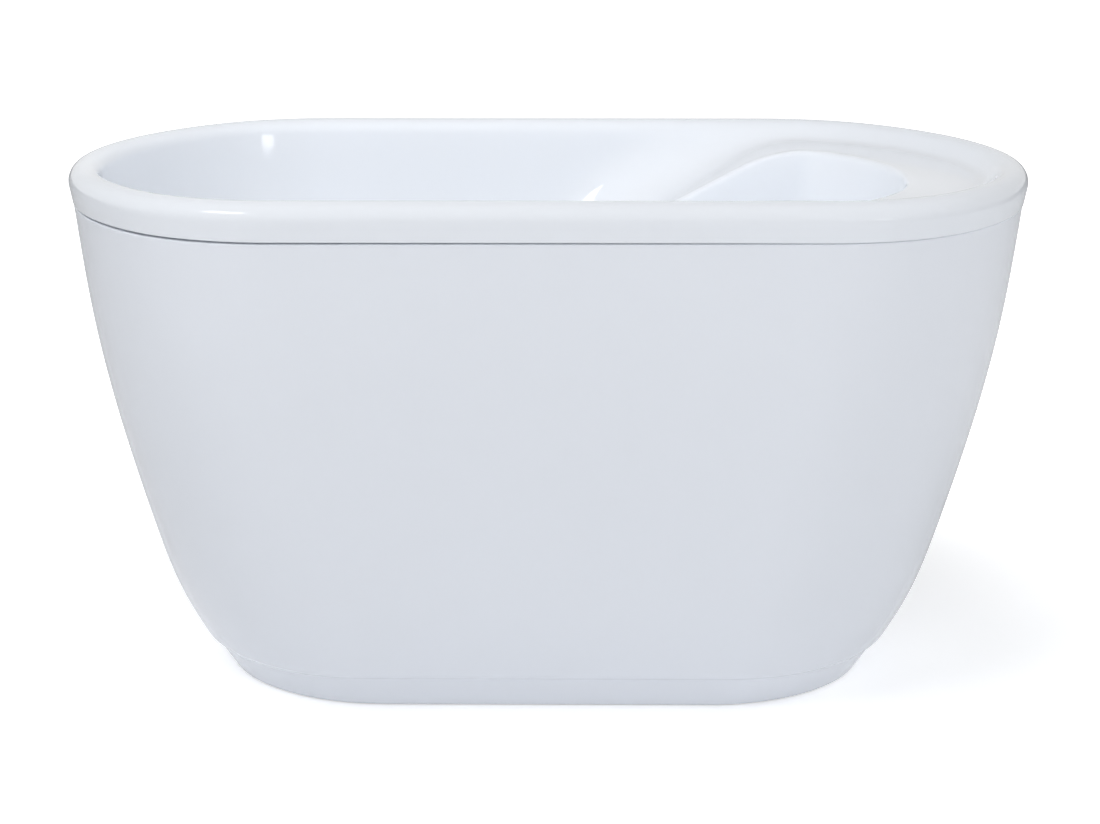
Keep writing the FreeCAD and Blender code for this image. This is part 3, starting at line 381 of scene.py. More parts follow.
deck_centre = round_centre(deck_corner, deck_face, ramp_face, RAMP_ROUND)
front_centre = round_centre(front_corner, ramp_face, front_face, FRONT_ROUND)


def block_depth(x, z):
    """Depth of a point under the deck, the arms' slope and the seat's front."""
    def beside(point, way):
        return (x - point[0]) * way[0] + (z - point[1]) * way[1]

    deck = DECK - z
    deck_arc = RAMP_ROUND - np.hypot(x - deck_centre[0], z - deck_centre[1])
    ramp = -beside(deck_corner, ramp_face)
    front_arc = FRONT_ROUND - np.hypot(x - front_centre[0], z - front_centre[1])
    front = -beside(front_corner, front_face)
    low = np.where(beside(front_centre, front_way) < 0, front_arc, front)
    slope = np.where(beside(front_centre, ramp_way) < 0, ramp, low)
    return np.where(x > deck_centre[0], deck, np.where(beside(deck_centre, ramp_way) < 0, deck_arc, slope))


def scoop_depth(x, y, z):
    """Depth of a point outside the scoop: its leaning walls and its pan."""
    rise = (z - SEAT) / (DECK - SEAT)
    straight = HALF - SCOOP_REACH - SCOOP_END - BACK_LEAN * (1 - rise)
    wall = past_end(x - straight, np.abs(y), SCOOP_HALF - SCOOP_DRAFT * (1 - rise), SCOOP_END)
    wall = wall / math.hypot(1, BACK_LEAN / (DECK - SEAT) / 2)
    return hollow(wall, SEAT - z, SEAT_ROUND)


def ease(value, low, high):
    """A smooth step from 0 to 1."""
    share = np.clip((value - low) / (high - low), 0, 1)
    return share * share * (3 - 2 * share)


WALL_BLEND, ARM_BLEND, DECK_BLEND = 40, 80, 22
ARM_LOW, EDGE_TOP, BLEND_TOP = SEAT + 60, SEAT + 140, SEAT + 200
DECK_FROM, DECK_TO = front_corner[0] + 80, deck_corner[0] + 60


def sheet_depth(x, y, z):
    """Depth of a point in the whole sheet: above zero in it, below zero in the water."""
    basin = hollow(wall_depth(x, y, z), FLOOR - z, BASIN_ROUND)
    edge = PAN_EDGE + (ARM_EDGE - PAN_EDGE) * ease(z, ARM_LOW, EDGE_TOP)
    seat = crest(block_depth(x, z), scoop_depth(x, y, z), edge)
    blend = WALL_BLEND + (ARM_BLEND - WALL_BLEND) * ease(z, ARM_LOW, BLEND_TOP)
    blend = blend + (DECK_BLEND - blend) * ease(x, DECK_FROM, DECK_TO)
    return hollow(basin, seat, blend)


print("deck at", DECK, "and seat at", SEAT)

# %% [markdown]
# ## Laying the sheet
# The sheet is laid in columns. Each runs from the rim's crest inward, first square to the rim past
# the wall, the arm and the scoop's edge, then along the floor or the seat's pan to an oval round the
# waste. At every plan point the height is found by halving. Each column then gets the same number of
# rings, closer together where it bends, so that the blends stay smooth.

# %% Lay the columns of the basin
COLUMNS, RINGS, HALVINGS = 512, 120, 26
CROWD_PLACES, CROWD_WEIGHTS = (-HALF, -60, -20, 90, 150, HALF), (0.9, 0.9, 1.9, 1.9, 1.25, 1.25)
INWARD, STEPS_IN, STEP_POWER, STEPS_ON = 200, 801, 1.6, 301
DRAIN_X, RECESS_RADIUS, RECESS, BORE_RADIUS = -300, 36, 2, 25
WASTE_OVAL, WASTE_OVAL_X, BELOW = (156, 105, 90), -200, 20.0

stations = spread_stations(COLUMNS, (CROWD_PLACES, CROWD_WEIGHTS))
inset_shares = np.linspace(0, 1, STEPS_IN) ** STEP_POWER
steps_in = [oval(stations, HALF - k, SIDE - k, END - k) for k in ROLL / 2 + INWARD * inset_shares]
round_waste = oval(stations, *WASTE_OVAL) + np.array([WASTE_OVAL_X, 0])
steps_on = [steps_in[-1] * (1 - s) + round_waste * s for s in np.linspace(0, 1, STEPS_ON)[1:]]
plan = np.stack(steps_in + steps_on, axis=1)
low, high = np.full(plan.shape[:2], FLOOR - BELOW), np.full(plan.shape[:2], float(HEIGHT))
for _ in range(HALVINGS):
    middle = (low + high) / 2
    in_sheet = sheet_depth(plan[..., 0], plan[..., 1], middle) > 0
    low, high = np.where(in_sheet, middle, low), np.where(in_sheet, high, middle)
columns = np.concatenate([plan, ((low + high) / 2)[..., None]], axis=2)
columns[:, 0, 2] = HEIGHT
print("columns laid:", columns.shape[0], "heights from", columns[..., 2].min(), "to", columns[..., 2].max())

# %% Space the rings along the columns
SAMPLES, REACH, SHARPEST, NEAR, KEEN = 2000, 6, 0.12, 7, 30.0


def spaced_rings(columns, count):
    """The columns cut to equal counts, closer where they bend, alike from column to column."""
    steps = np.linalg.norm(np.diff(columns, axis=1), axis=2)
    far = np.concatenate([np.zeros((len(columns), 1)), np.cumsum(steps, axis=1)], axis=1)
    cuts = []
    for line, length in zip(columns, far):
        even = np.linspace(0, length[-1], SAMPLES)
        path = np.stack([np.interp(even, length, line[:, i]) for i in range(3)], axis=1)
        turn = np.diff(path, axis=0)
        turn /= np.linalg.norm(turn, axis=1, keepdims=True)
        bend = np.linalg.norm(turn[REACH:] - turn[:-REACH], axis=1) / (REACH * even[1])
        bend = np.pad(bend, (REACH // 2, len(even) - len(bend) - REACH // 2), mode="edge")
        weight = 1 + KEEN * np.minimum(bend, SHARPEST)
        grown = np.concatenate([[0], np.cumsum((weight[1:] + weight[:-1]) / 2)])
        cuts.append(np.interp(np.linspace(0, grown[-1], count + 1), grown, even / length[-1]))
    cuts = np.array(cuts)
    padded = np.concatenate([cuts[NEAR:0:-1], cuts, cuts[-2 : -2 - NEAR : -1]])
    cuts = sum(padded[i : i + len(cuts)] for i in range(2 * NEAR + 1)) / (2 * NEAR + 1)
    laid = []
    for line, length, cut in zip(columns, far, cuts):
        laid.append(np.stack([np.interp(cut * length[-1], length, line[:, i]) for i in range(3)], axis=1))
    return np.array(laid)


inside = spaced_rings(columns, RINGS)
print("rings along each column:", inside.shape[1])

# %% [markdown]
# ## The basin's two faces
# The face that shows runs from under the rim's lip, over the roll and down to the waste. The back of
# the sheet lies one sheet's thickness behind it, with a quarter of the rings, because only the frame
# sees it. Both are one skin, drawn up the back, round the lip and down the front, and a bridge in the
# waste hole closes it.

# %% Rings of both faces
LIP_EDGE, LIP_FLAT, LIP_STEPS = 1.2, 3, 4
FACE_ARC, BACK_ARC, THINNED = 16, 7, 4
RECESS_FLAT, RECESS_EDGE, RECESS_DROP, FIT = 8, 0.6, 0.4, 0.1
LIP_TURN = -math.atan(LIP_SLOPE)


def rim_ring(inset, height):
    """A level ring inward of the rim's outer edge."""
    return ring(stations, HALF - inset, SIDE - inset, END - inset, height)


def rolled(radius, angle):
    """A ring on the rim's roll, from the lip at the outside up to the crest."""
    return rim_ring(ROLL / 2 - radius * math.cos(angle), SPRING + radius * math.sin(angle))


lip_low, lip_in = rim_ring(LIP_IN, LIP), rim_ring(LIP_BACK, LIP)
show = round_corner(lip_in, lip_low, rolled(ROLL / 2, LIP_TURN), LIP_EDGE, LIP_STEPS)
show.append(rim_ring(LIP_IN - LIP_FLAT * LIP_SLOPE, LIP + LIP_FLAT))
show += [rolled(ROLL / 2, angle) for angle in np.linspace(LIP_TURN, math.pi / 2, FACE_ARC)[:-1]]
show += [whole(inside[:, i]) for i in range(inside.shape[1])]


def waste_ring(like, radius, height):
    """A ring round the waste hole, each point in line with one of another ring."""
    way = np.arctan2(like[:, 1], like[:, 0] - DRAIN_X)
    return np.column_stack([DRAIN_X + radius * np.cos(way), radius * np.sin(way), np.full(len(way), height)])


for radius, height in (
    (RECESS_RADIUS + RECESS_FLAT, FLOOR),
    (RECESS_RADIUS + RECESS_EDGE, FLOOR),
    (RECESS_RADIUS + FIT, FLOOR - RECESS_DROP),
    (RECESS_RADIUS + FIT, FLOOR - RECESS),
    (BORE_RADIUS + FIT, FLOOR - RECESS),
):
    show.append(waste_ring(show[-1], radius, float(height)))


def face_ways(grid):
    """The way each point of a ringed face faces, from its neighbours."""
    along = np.gradient(grid, axis=1)
    around = np.roll(grid, -1, axis=0) - np.roll(grid, 1, axis=0)
    ways = np.cross(around, along)
    return ways / np.linalg.norm(ways, axis=2, keepdims=True)


grid = np.stack([whole(inside[:, i]) for i in range(inside.shape[1])], axis=1)
ways = face_ways(grid)
ways *= np.sign(ways[0, -1, 2])
behind = (grid - SHEET * ways)[:, ::THINNED]
back = round_corner(lip_low, lip_in, rolled(ROLL / 2 - SHEET, LIP_TURN), LIP_EDGE, LIP_STEPS // 2)
back += [rolled(ROLL / 2 - SHEET, angle) for angle in np.linspace(LIP_TURN, math.pi / 2, BACK_ARC)[:-1]]
back += [behind[:, i] for i in range(behind.shape[1])]
back.append(waste_ring(back[-1], RECESS_RADIUS, float(FLOOR - SHEET)))
back.append(waste_ring(back[-1], BORE_RADIUS + FIT, float(FLOOR - SHEET)))
print("rings on the face:", len(show), "and on the back:", len(back))

# %% Draw the basin
shape = bmesh.new()
waste_back, waste_front = draw_skin(shape, back[::-1] + show)
bmesh.ops.bridge_loops(shape, edges=waste_back + waste_front)
bmesh.ops.recalc_face_normals(shape, faces=shape.faces)
finish_piece("basin_sheet", shape, "tub", basin_acrylic, ["inner_tub"])

# %% [markdown]
# ## The skirt
# The skirt is a second sheet that curves in towards the floor, steps in to a plinth that leans in
# further, and tucks up behind the rim's lip. Its level cuts are the same kind of outline, so it is one
# closed skin, drawn from the tuck down the outside, under the plinth and up the inside again. The seam
# under the lip is wider at the foot end and closes towards the seat, as hand-fitted sheets do.

# %% Rings of the skirt
SKIN, TUCK_HEIGHT, LIP_GAP, SEAM_GAP, SEAM_STEP = 5, 14, 1.5, 1.5, 1
SEAM_PLACES, SEAM_RISES = (-480, -200, 200, 420), (-1.2, -0.4, 0.3, 1.3)
TUCK, SHOULDER = LIP_BACK + LIP_GAP, LIP - SEAM_GAP
WEB = SHOULDER - SKIN
BASE_INSET, BASE_END, SKIRT_COLUMNS = 138, 232.5, 288
PLINTH, STEP_LOW, STEP_IN, PLINTH_FOOT, PLINTH_LEDGE, FLOOR_GAP = 56, 49, 9, 37, 17, 2
LEDGE = PLINTH + SKIN
SKIRT_HEIGHT_SHARES = (0, 0.1, 0.25, 0.5, 0.75, 1)
SKIRT_INSET_SHARES = (1, 0.798, 0.5955, 0.335, 0.142)
skirt_lines = []
for size, fall in ((HALF, BASE_INSET), (SIDE, BASE_INSET * SIDE_SHARE), (END, END - BASE_END)):
    sizes = [size - fall * share for share in SKIRT_INSET_SHARES] + [size - LIP_IN - SEAM_STEP]
    skirt_lines.append(smooth_line(SKIRT_HEIGHT_SHARES, sizes))
round_skirt = spread_stations(SKIRT_COLUMNS, ((-HALF, HALF), (1, 1)))


def skirt_ring(share, skin, foot, top):
    """A ring of the skirt at a share of its height, set in by a skin."""
    sizes = [float(line(np.array([share]))[0]) - skin for line in skirt_lines]
    return ring(round_skirt, *sizes, foot + (top - foot) * share)


def plinth_ring(inset, height):
    """A ring of the plinth, inward of the skirt's lower edge."""
    half_length, half_width = HALF - BASE_INSET - inset, SIDE - BASE_INSET * SIDE_SHARE - inset
    return ring(round_skirt, half_length, half_width, BASE_END - inset / 2, height)


def tuck_ring(inset, height):
    """A ring of the edge that tucks up behind the lip."""
    return ring(round_skirt, HALF - inset, SIDE - inset, END - inset, height)


print("plinth steps in by", STEP_IN, "mm and ends", PLINTH_FOOT, "mm in at the floor")

# %% Draw the skirt
SHOULDER_TURN, BASE_TURN, STEP_TURN, FOOT_TURN = 2.6, 6, 5, 1.5
SHOULDER_STEPS, BASE_STEPS, STEP_STEPS, FOOT_STEPS = 6, 8, 6, 3
OUTSIDE_SHARES, INSIDE_SHARES, PLINTH_RINGS = np.linspace(0.99, 0.02, 60), np.linspace(0, 1, 31), 6
STEP_CLEAR, FOOT_CLEAR, TUCK_CLEAR = 8, 3, 2
outside = [skirt_ring(share, 0, PLINTH, SHOULDER) for share in OUTSIDE_SHARES]
shoulder, base = skirt_ring(1, 0, PLINTH, SHOULDER), skirt_ring(0, 0, PLINTH, SHOULDER)
step_in, plinth_low = plinth_ring(STEP_IN, STEP_LOW), plinth_ring(PLINTH_FOOT, FLOOR_GAP)
plinth_in = plinth_ring(PLINTH_FOOT + SKIN, FLOOR_GAP)
plinth_out = [
    plinth_ring(np.interp(height, (FLOOR_GAP, STEP_LOW), (PLINTH_FOOT, STEP_IN)), height)
    for height in np.linspace(STEP_LOW - STEP_CLEAR, FLOOR_GAP + FOOT_CLEAR, PLINTH_RINGS)
]
plinth_back = [
    plinth_ring(np.interp(height, (FLOOR_GAP, LEDGE), (PLINTH_FOOT + SKIN, PLINTH_LEDGE)), height)
    for height in np.linspace(FLOOR_GAP, LEDGE, PLINTH_RINGS)
]
tuck_low = tuck_ring(TUCK, SHOULDER)
for points in (tuck_low, shoulder, outside[0]):
    points[:, 2] += np.interp(points[:, 0], SEAM_PLACES, SEAM_RISES)
rings = [tuck_ring(TUCK, LIP + TUCK_HEIGHT), tuck_ring(TUCK, LIP + TUCK_CLEAR), tuck_low]
rings += round_corner(tuck_low, shoulder, outside[0], SHOULDER_TURN, SHOULDER_STEPS) + outside
rings += round_corner(outside[-1], base, step_in, BASE_TURN, BASE_STEPS)
rings += round_corner(base, step_in, plinth_out[0], STEP_TURN, STEP_STEPS) + plinth_out
rings += round_corner(plinth_out[-1], plinth_low, plinth_in, FOOT_TURN, FOOT_STEPS) + plinth_back
rings += [skirt_ring(share, SKIN, LEDGE, WEB) for share in INSIDE_SHARES]
rings += [tuck_ring(TUCK + SKIN, height) for height in (WEB, LIP + TUCK_HEIGHT)]
shape = bmesh.new()
top_out, top_in = draw_skin(shape, rings)
bmesh.ops.bridge_loops(shape, edges=top_out + top_in)
bmesh.ops.recalc_face_normals(shape, faces=shape.faces)
finish_piece("skirt_sheet", shape, "tub", skirt_acrylic, ["outer_skirt"])

# %% [markdown]
# ## Finishes of the fittings
# Most fittings have an even finish with a fine grain in it: the peel of a powder coat, the mottle of
# zinc plating, the dull skin of rubber. One function makes them all from what differs: two close
# colours, the size of the grain in millimetres, the play in the gloss and the height of the bump. A
# grain finer than about a millimetre would not show in a picture, so none is drawn finer than that.


# %% Grained finishes
def grained(name, codes, grain, gloss, rise, metal=0.0, ior=1.5):
    """A finish with a fine grain: two colours, grain size in mm, gloss range and bump height in mm."""
    material, tree, shader, place = new_finish(name)
    speck = add_node(
        tree,
        "ShaderNodeTexNoise",
        values={"Scale": 1000 / grain, "Detail": 4.0, "Roughness": 0.6},
        links={"Vector": (place, "Object")},
    )
    tint = add_node(
        tree,
        "ShaderNodeMix",
        {"data_type": "RGBA"},
        {6: shade(codes[0]), 7: shade(codes[1])},
        {0: (speck, "Fac")},
    )
    rough = add_node(
        tree,
        "ShaderNodeMapRange",
        values={"From Min": 0.3, "From Max": 0.7, "To Min": gloss[0], "To Max": gloss[1]},
        links={"Value": (speck, "Fac")},
    )
    bump = add_node(
        tree,
        "ShaderNodeBump",
        values={"Strength": 0.5, "Distance": rise * MM},
        links={"Height": (speck, "Fac")},
    )
    tree.links.new(tint.outputs[2], shader.inputs["Base Color"])
    tree.links.new(rough.outputs["Result"], shader.inputs["Roughness"])
    tree.links.new(bump.outputs["Normal"], shader.inputs["Normal"])
    shader.inputs["Metallic"].default_value = metal
    if not metal:
        shader.inputs["IOR"].default_value = ior
    return material


METAL, RUBBER, POLYPROPYLENE, SILICONE = {"metal": 1.0}, {"ior": 1.52}, {"ior": 1.49}, {"ior": 1.41}
RECIPES = {
    # A wet mirror with the faintest mottle from polishing cloths
    "polished_chrome": ("polished chrome plate", ("#D3D5D8", "#CBCED2"), 9, (0.03, 0.07), 0.002, METAL),
    # Warm yellow metal with a satin skin from the lathe
    "cartridge_brass": ("turned brass", ("#D8BC77", "#C9A961"), 1.2, (0.24, 0.36), 0.01, METAL),
    # Cool grey metal, cloudy where the plating is thicker
    "zinc_steel": ("bright zinc-plated steel", ("#C7CACD", "#AEB3BA"), 4, (0.22, 0.42), 0.008, METAL),
    # Charcoal paint with the peel that powder leaves when it melts
    "frame_steel": ("satin powder-coated steel", ("#2C2E30", "#34373A"), 1.6, (0.38, 0.5), 0.04, {}),
    # Dull black with a dusty bloom
    "foot_rubber": ("moulded black rubber", ("#1D1D1E", "#2A2A2B"), 2.2, (0.68, 0.85), 0.03, RUBBER),
    # Dark grey and a little smoother, because it was moulded to seal
    "seal_rubber": ("moulded seal rubber", ("#232325", "#2C2C2E"), 1.4, (0.5, 0.66), 0.02, RUBBER),
    # Soft white that has skinned over, a little uneven under the gun
    "sealant": ("skinned white sealant", ("#E4E6E8", "#DADCDE"), 7, (0.3, 0.46), 0.12, SILICONE),
    # Off-white with the fine spark-eroded skin of its mould
    "fitting_plastic": (
        "moulded white polypropylene", ("#E3E4E4", "#DADCDC"), 0.9, (0.34, 0.46), 0.015, POLYPROPYLENE
    ),
    # Mid grey, drawn through a die, smooth and slightly waxy
    "pipe_plastic": (
        "extruded grey polypropylene", ("#9A9DA2", "#8E9297"), 3, (0.28, 0.4), 0.01, POLYPROPYLENE
    ),
}
finishes = {slot: grained(*recipe, **kind) for slot, (*recipe, kind) in RECIPES.items()}
print("grained finishes:", sorted(finishes))

# %% [markdown]
# ## Plywood
# The boards under the floor and the seat are plain plywood, bonded to the acrylic. The face shows
# long, narrow grain; the edge shows the plies, under two millimetres each, light and dark in turn.
# Noise that is stretched along the board gives the grain, and a wave up the board gives the plies.
# Plies that thin would not show in a picture, so each light or dark band is drawn three plies thick.

# %% Plywood
plywood, tree, shader, place = new_finish("sanded birch plywood")
GRAIN_LONG, GRAIN_WIDE, BAND, FIBRE = 90, 2.5, 5.655, 0.15
# Half a wave of the wave node at a scale of 1, in metres
HALF_WAVE = math.pi / 20
stretched = add_node(
    tree,
    "ShaderNodeMapping",
    values={"Scale": (1000 / GRAIN_LONG, 1000 / GRAIN_WIDE, 1000 / GRAIN_WIDE)},
    links={"Vector": (place, "Object")},
)
grain = add_node(
    tree, "ShaderNodeTexNoise", values={"Scale": 1.0, "Detail": 5.0}, links={"Vector": (stretched, 0)}
)
wood = add_node(tree, "ShaderNodeValToRGB", links={"Fac": (grain, "Fac")})
wood.color_ramp.elements[0].position, wood.color_ramp.elements[0].color = 0.3, shade("#A98558")
wood.color_ramp.elements[1].position, wood.color_ramp.elements[1].color = 0.7, shade("#CFAE82")
plies = add_node(
    tree,
    "ShaderNodeTexWave",
    {"bands_direction": "Z"},
    {"Scale": HALF_WAVE / (BAND * MM), "Distortion": 0.4},
    {"Vector": (place, "Object")},
)
darker = add_node(
    tree, "ShaderNodeMapRange", values={"To Min": 0.78, "To Max": 1.0}, links={"Value": (plies, "Fac")}
)
shaded = add_node(
    tree,
    "ShaderNodeMix",
    {"data_type": "RGBA", "blend_type": "MULTIPLY"},
    {0: 1.0},
    {6: (wood, "Color"), 7: (darker, "Result")},
)
fibres = add_node(
    tree, "ShaderNodeBump", values={"Strength": 0.4, "Distance": FIBRE * MM}, links={"Height": (grain, "Fac")}
)
tree.links.new(shaded.outputs[2], shader.inputs["Base Color"])
tree.links.new(fibres.outputs["Normal"], shader.inputs["Normal"])
shader.inputs["Roughness"].default_value = 0.62
finishes["board"] = plywood
finishes["white_acrylic"] = skirt_acrylic
print("bands of plies drawn every", BAND, "mm")

# %% [markdown]
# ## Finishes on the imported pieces
# The frame, the boards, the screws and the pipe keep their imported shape, because it is already right.
# Each takes the finish that its material slot names.

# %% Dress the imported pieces
slot_of = {name: thing.data.materials[0].name for name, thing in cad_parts.items()}
for name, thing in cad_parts.items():
    thing.data.materials[0] = finishes[slot_of[name]]
print("slots in use:", sorted(set(slot_of.values())))

# %% [markdown]
# ## Turning the fittings
# The fittings that water and hands meet are round, so they are turned: half an outline is spun round
# an upright axis, its seam is merged, and every sharp edge is then bevelled by a fraction of a
# millimetre, because a plated edge always catches a thin line of light.

# %% Lathe
MERGE = 0.001


def turn(shape, outline, steps=96):
    """Spins a closed half outline of radii and heights, in mm, round the upright axis."""
    spots = [shape.verts.new((radius * MM, 0, height * MM)) for radius, height in outline]
    edges = [shape.edges.new(pair) for pair in zip(spots, spots[1:] + spots[:1])]
    bmesh.ops.spin(
        shape, geom=spots + edges, cent=(0, 0, 0), axis=(0, 0, 1), angle=math.tau, steps=steps, use_merge=True
    )
    bmesh.ops.remove_doubles(shape, verts=shape.verts, dist=MERGE * MM)
    bmesh.ops.dissolve_degenerate(shape, edges=shape.edges, dist=MERGE * MM)
    bmesh.ops.recalc_face_normals(shape, faces=shape.faces)


def ease_edges(shape, width, keen=25):
    """Bevels the edges that turn by more than a few degrees."""
    sharp = [e for e in shape.edges if len(e.link_faces) == 2 and e.calc_face_angle() > math.radians(keen)]
    bmesh.ops.bevel(
        shape,
        geom=sharp,
        offset=width * MM,
        offset_type="OFFSET",
        segments=3,
        profile=0.5,
        affect="EDGES",
        material=-1,
        clamp_overlap=True,
    )


# %% [markdown]
# ## Waste and stopper
# The waste is a chromed flange let into the floor, with a cross inside that holds the stopper's
# sleeve. The stopper is a low chromed dome on a stem: pushed once it stays down, pushed again it
# springs up. The dome falls away faster towards its edge, as a pressed cap does.

# %% Turn the waste flange
SEAT_LOW = FLOOR - RECESS
FLANGE_TOP, FLANGE_BORE, FLANGE_FOOT = SEAT_LOW + 2.5, 22, FLOOR - 30
BRIM_DRAFT, BRIM_EDGE, BRIM_ROUND, MOUTH, MOUTH_DROP = 0.3, 1.2, 1.25, 2, 1.5
WEB_LOW, WEB_THICK, WEB_WIDE, WEB_LONG, SLEEVE, SLEEVE_STEPS = FLOOR - 19, 5, 6, 23.5, 8, 48
FLANGE_EASE = 0.35
shape = bmesh.new()
turn(
    shape,
    (
        (FLANGE_BORE, FLANGE_FOOT),
        (BORE_RADIUS, FLANGE_FOOT),
        (BORE_RADIUS, SEAT_LOW),
        (RECESS_RADIUS, SEAT_LOW),
        (RECESS_RADIUS - BRIM_DRAFT, SEAT_LOW + BRIM_EDGE),
        (RECESS_RADIUS - BRIM_ROUND, FLANGE_TOP),
        (FLANGE_BORE + MOUTH, FLANGE_TOP),
        (FLANGE_BORE, FLANGE_TOP - MOUTH_DROP),
    ),
)
turn(
    shape,
    (
        (SLEEVE, WEB_LOW),
        (SLEEVE + WEB_THICK / 2, WEB_LOW),
        (SLEEVE + WEB_THICK / 2, WEB_LOW + WEB_THICK),
        (SLEEVE, WEB_LOW + WEB_THICK),
    ),
    SLEEVE_STEPS,
)
for quarter in range(4):
    spoke = bmesh.ops.create_cube(shape, size=MM)["verts"]
    reach = WEB_LONG - SLEEVE - WEB_THICK / 4
    bmesh.ops.scale(shape, vec=(reach, WEB_WIDE, WEB_THICK), verts=spoke)
    middle = Vector((WEB_LONG - reach / 2, 0, WEB_LOW + WEB_THICK / 2)) * MM
    bmesh.ops.translate(shape, vec=middle, verts=spoke)
    swing = Matrix.Rotation(quarter * math.pi / 2, 3, "Z")
    bmesh.ops.rotate(shape, cent=(0, 0, 0), matrix=swing, verts=spoke)
ease_edges(shape, FLANGE_EASE)
bmesh.ops.translate(shape, vec=(DRAIN_X * MM, 0, 0), verts=shape.verts)
chrome = finishes["polished_chrome"]
finish_piece("waste_flange", shape, "tub", chrome, ["drain_flange"])

# %% Turn the stopper
CAP_LOW, CAP_RADIUS, CAP_EDGE, CAP_RISE, STEM, STEM_LOW = FLANGE_TOP + 2.8, 32, 3, 7, 4, FLOOR - 25
FALL, CAP_EASE = 3.5, 0.5
DOME_SHARES = (1, 0.97, 0.93, 0.88, 0.82, 0.75, 0.66, 0.56, 0.44, 0.3, 0.15, 0)
dome = [
    (CAP_RADIUS * share, CAP_LOW + CAP_EDGE + (CAP_RISE - CAP_EDGE) * (1 - share**FALL))
    for share in DOME_SHARES
]
shape = bmesh.new()
turn(shape, [(0, STEM_LOW), (STEM, STEM_LOW), (STEM, CAP_LOW), (CAP_RADIUS, CAP_LOW)] + dome)
ease_edges(shape, CAP_EASE)
bmesh.ops.translate(shape, vec=(DRAIN_X * MM, 0, 0), verts=shape.verts)
finish_piece("stopper_dome", shape, "stopper", chrome, ["stopper_cap"])

# %% [markdown]
# ## Overflow
# High on the foot end a flat boss in the acrylic carries the overflow: a chromed cover that stands
# off the wall, so that water can pass behind its edge, and a screw with a recess in its head. All
# three are turned upright and then laid against the wall, which leans back by a few degrees.

# %% Turn the overflow
OVERFLOW_X, OVERFLOW_Z, OVERFLOW_TILT = -546.56, 551, 9.6
on_wall = Matrix.Translation(Vector((OVERFLOW_X, 0, OVERFLOW_Z)) * MM) @ Matrix.Rotation(
    math.radians(90 - OVERFLOW_TILT), 4, "Y"
)
BOSS, BOSS_BACK, BOSS_FRONT, BOSS_EDGE, OVERFLOW_BORE = 38, -7.5, 2, 1, 24
COVER, COVER_LOW, COVER_TOP, COVER_WALL, HUB, HUB_LOW, SCREW = 35, 5, 14, 2, 7, -10, 2.5
HEAD, HEAD_SIDE, HEAD_TOP, HEAD_DROP, HEAD_SHARE = 5, 1.5, 17, 0.6, 0.8
SOCKET, SOCKET_LOW, SOCKET_CONE, SCREW_LOW, OVERFLOW_EASE = 1.7, 15.2, 0.6, -30, 0.3
outlines = {
    "overflow_boss": [
        (OVERFLOW_BORE, BOSS_BACK),
        (BOSS, BOSS_BACK),
        (BOSS, BOSS_FRONT - BOSS_EDGE),
        (BOSS - BOSS_EDGE, BOSS_FRONT),
        (OVERFLOW_BORE, BOSS_FRONT),
    ],
    "overflow_cap": [
        (SCREW, HUB_LOW),
        (HUB, HUB_LOW),
        (HUB, COVER_TOP - COVER_WALL),
        (COVER - COVER_WALL, COVER_TOP - 2 * COVER_WALL),
        (COVER - COVER_WALL, COVER_LOW),
        (COVER, COVER_LOW),
        (COVER, COVER_TOP - 2 * COVER_WALL),
        (COVER - 0.2 * COVER_WALL, COVER_TOP - 1.4 * COVER_WALL),
        (COVER - 0.8 * COVER_WALL, COVER_TOP - 0.5 * COVER_WALL),
        (COVER - 2 * COVER_WALL, COVER_TOP),
        (SCREW, COVER_TOP),
    ],
    "overflow_bolt": [
        (0, SCREW_LOW),
        (SCREW, SCREW_LOW),
        (SCREW, COVER_TOP),
        (HEAD, COVER_TOP),
        (HEAD, COVER_TOP + HEAD_SIDE),
        (HEAD * HEAD_SHARE, HEAD_TOP - HEAD_DROP),
        (SOCKET, HEAD_TOP),
        (SOCKET, SOCKET_LOW),
        (0, SOCKET_LOW - SOCKET_CONE),
    ],
}
for name, material, nodes, slot in (
    ("overflow_boss", basin_acrylic, [], "white_acrylic"),
    ("overflow_cap", chrome, ["overflow_cover"], "polished_chrome"),
    ("overflow_bolt", chrome, ["overflow_screw"], "polished_chrome"),
):
    shape = bmesh.new()
    turn(shape, outlines[name])
    ease_edges(shape, OVERFLOW_EASE)
    bmesh.ops.transform(shape, matrix=on_wall, verts=shape.verts)
    finish_piece(name, shape, "tub", material, nodes)

# %% [markdown]
# ## Floor
# The tub stands on a plain pale floor. Under soft lamps a pale floor comes out grey, so for the camera
# it also glows: fully at a distance, which makes it white, and less near the tub, which leaves the
# tub's shadow on it. Round the plinth it throws a little light up, as a light table does, because a
# face that leans in sees mostly floor. From below it is clear, so that the feet can be looked at.

# %% Floor
FLOOR_HALF = 30
SHADOW_NEAR, SHADOW_FAR, SHADOW_GLOW = 0.55, 1.3, 0.36
BOUNCE_NEAR, BOUNCE_FAR, BOUNCE_GLOW, BOUNCE_LEAST = 0.18, 0.38, 0.14, 0.04
PLINTH_SHAPE_SHARE = 0.42
shape = bmesh.new()
bmesh.ops.create_grid(shape, x_segments=1, y_segments=1, size=FLOOR_HALF)
mesh = bpy.data.meshes.new("studio_floor")
shape.to_mesh(mesh)
shape.free()
floor = bpy.data.objects.new("studio_floor", mesh)
bpy.context.scene.collection.objects.link(floor)
pale, tree, shader, place = new_finish("pale studio floor")
shader.inputs["Base Color"].default_value = shade("#F4F5F7")
shader.inputs["Roughness"].default_value = 0.8
shader.inputs["Specular IOR Level"].default_value = 0.1
seen = add_node(tree, "ShaderNodeLightPath")
away = add_node(tree, "ShaderNodeVectorMath", {"operation": "LENGTH"}, links={0: (place, "Object")})
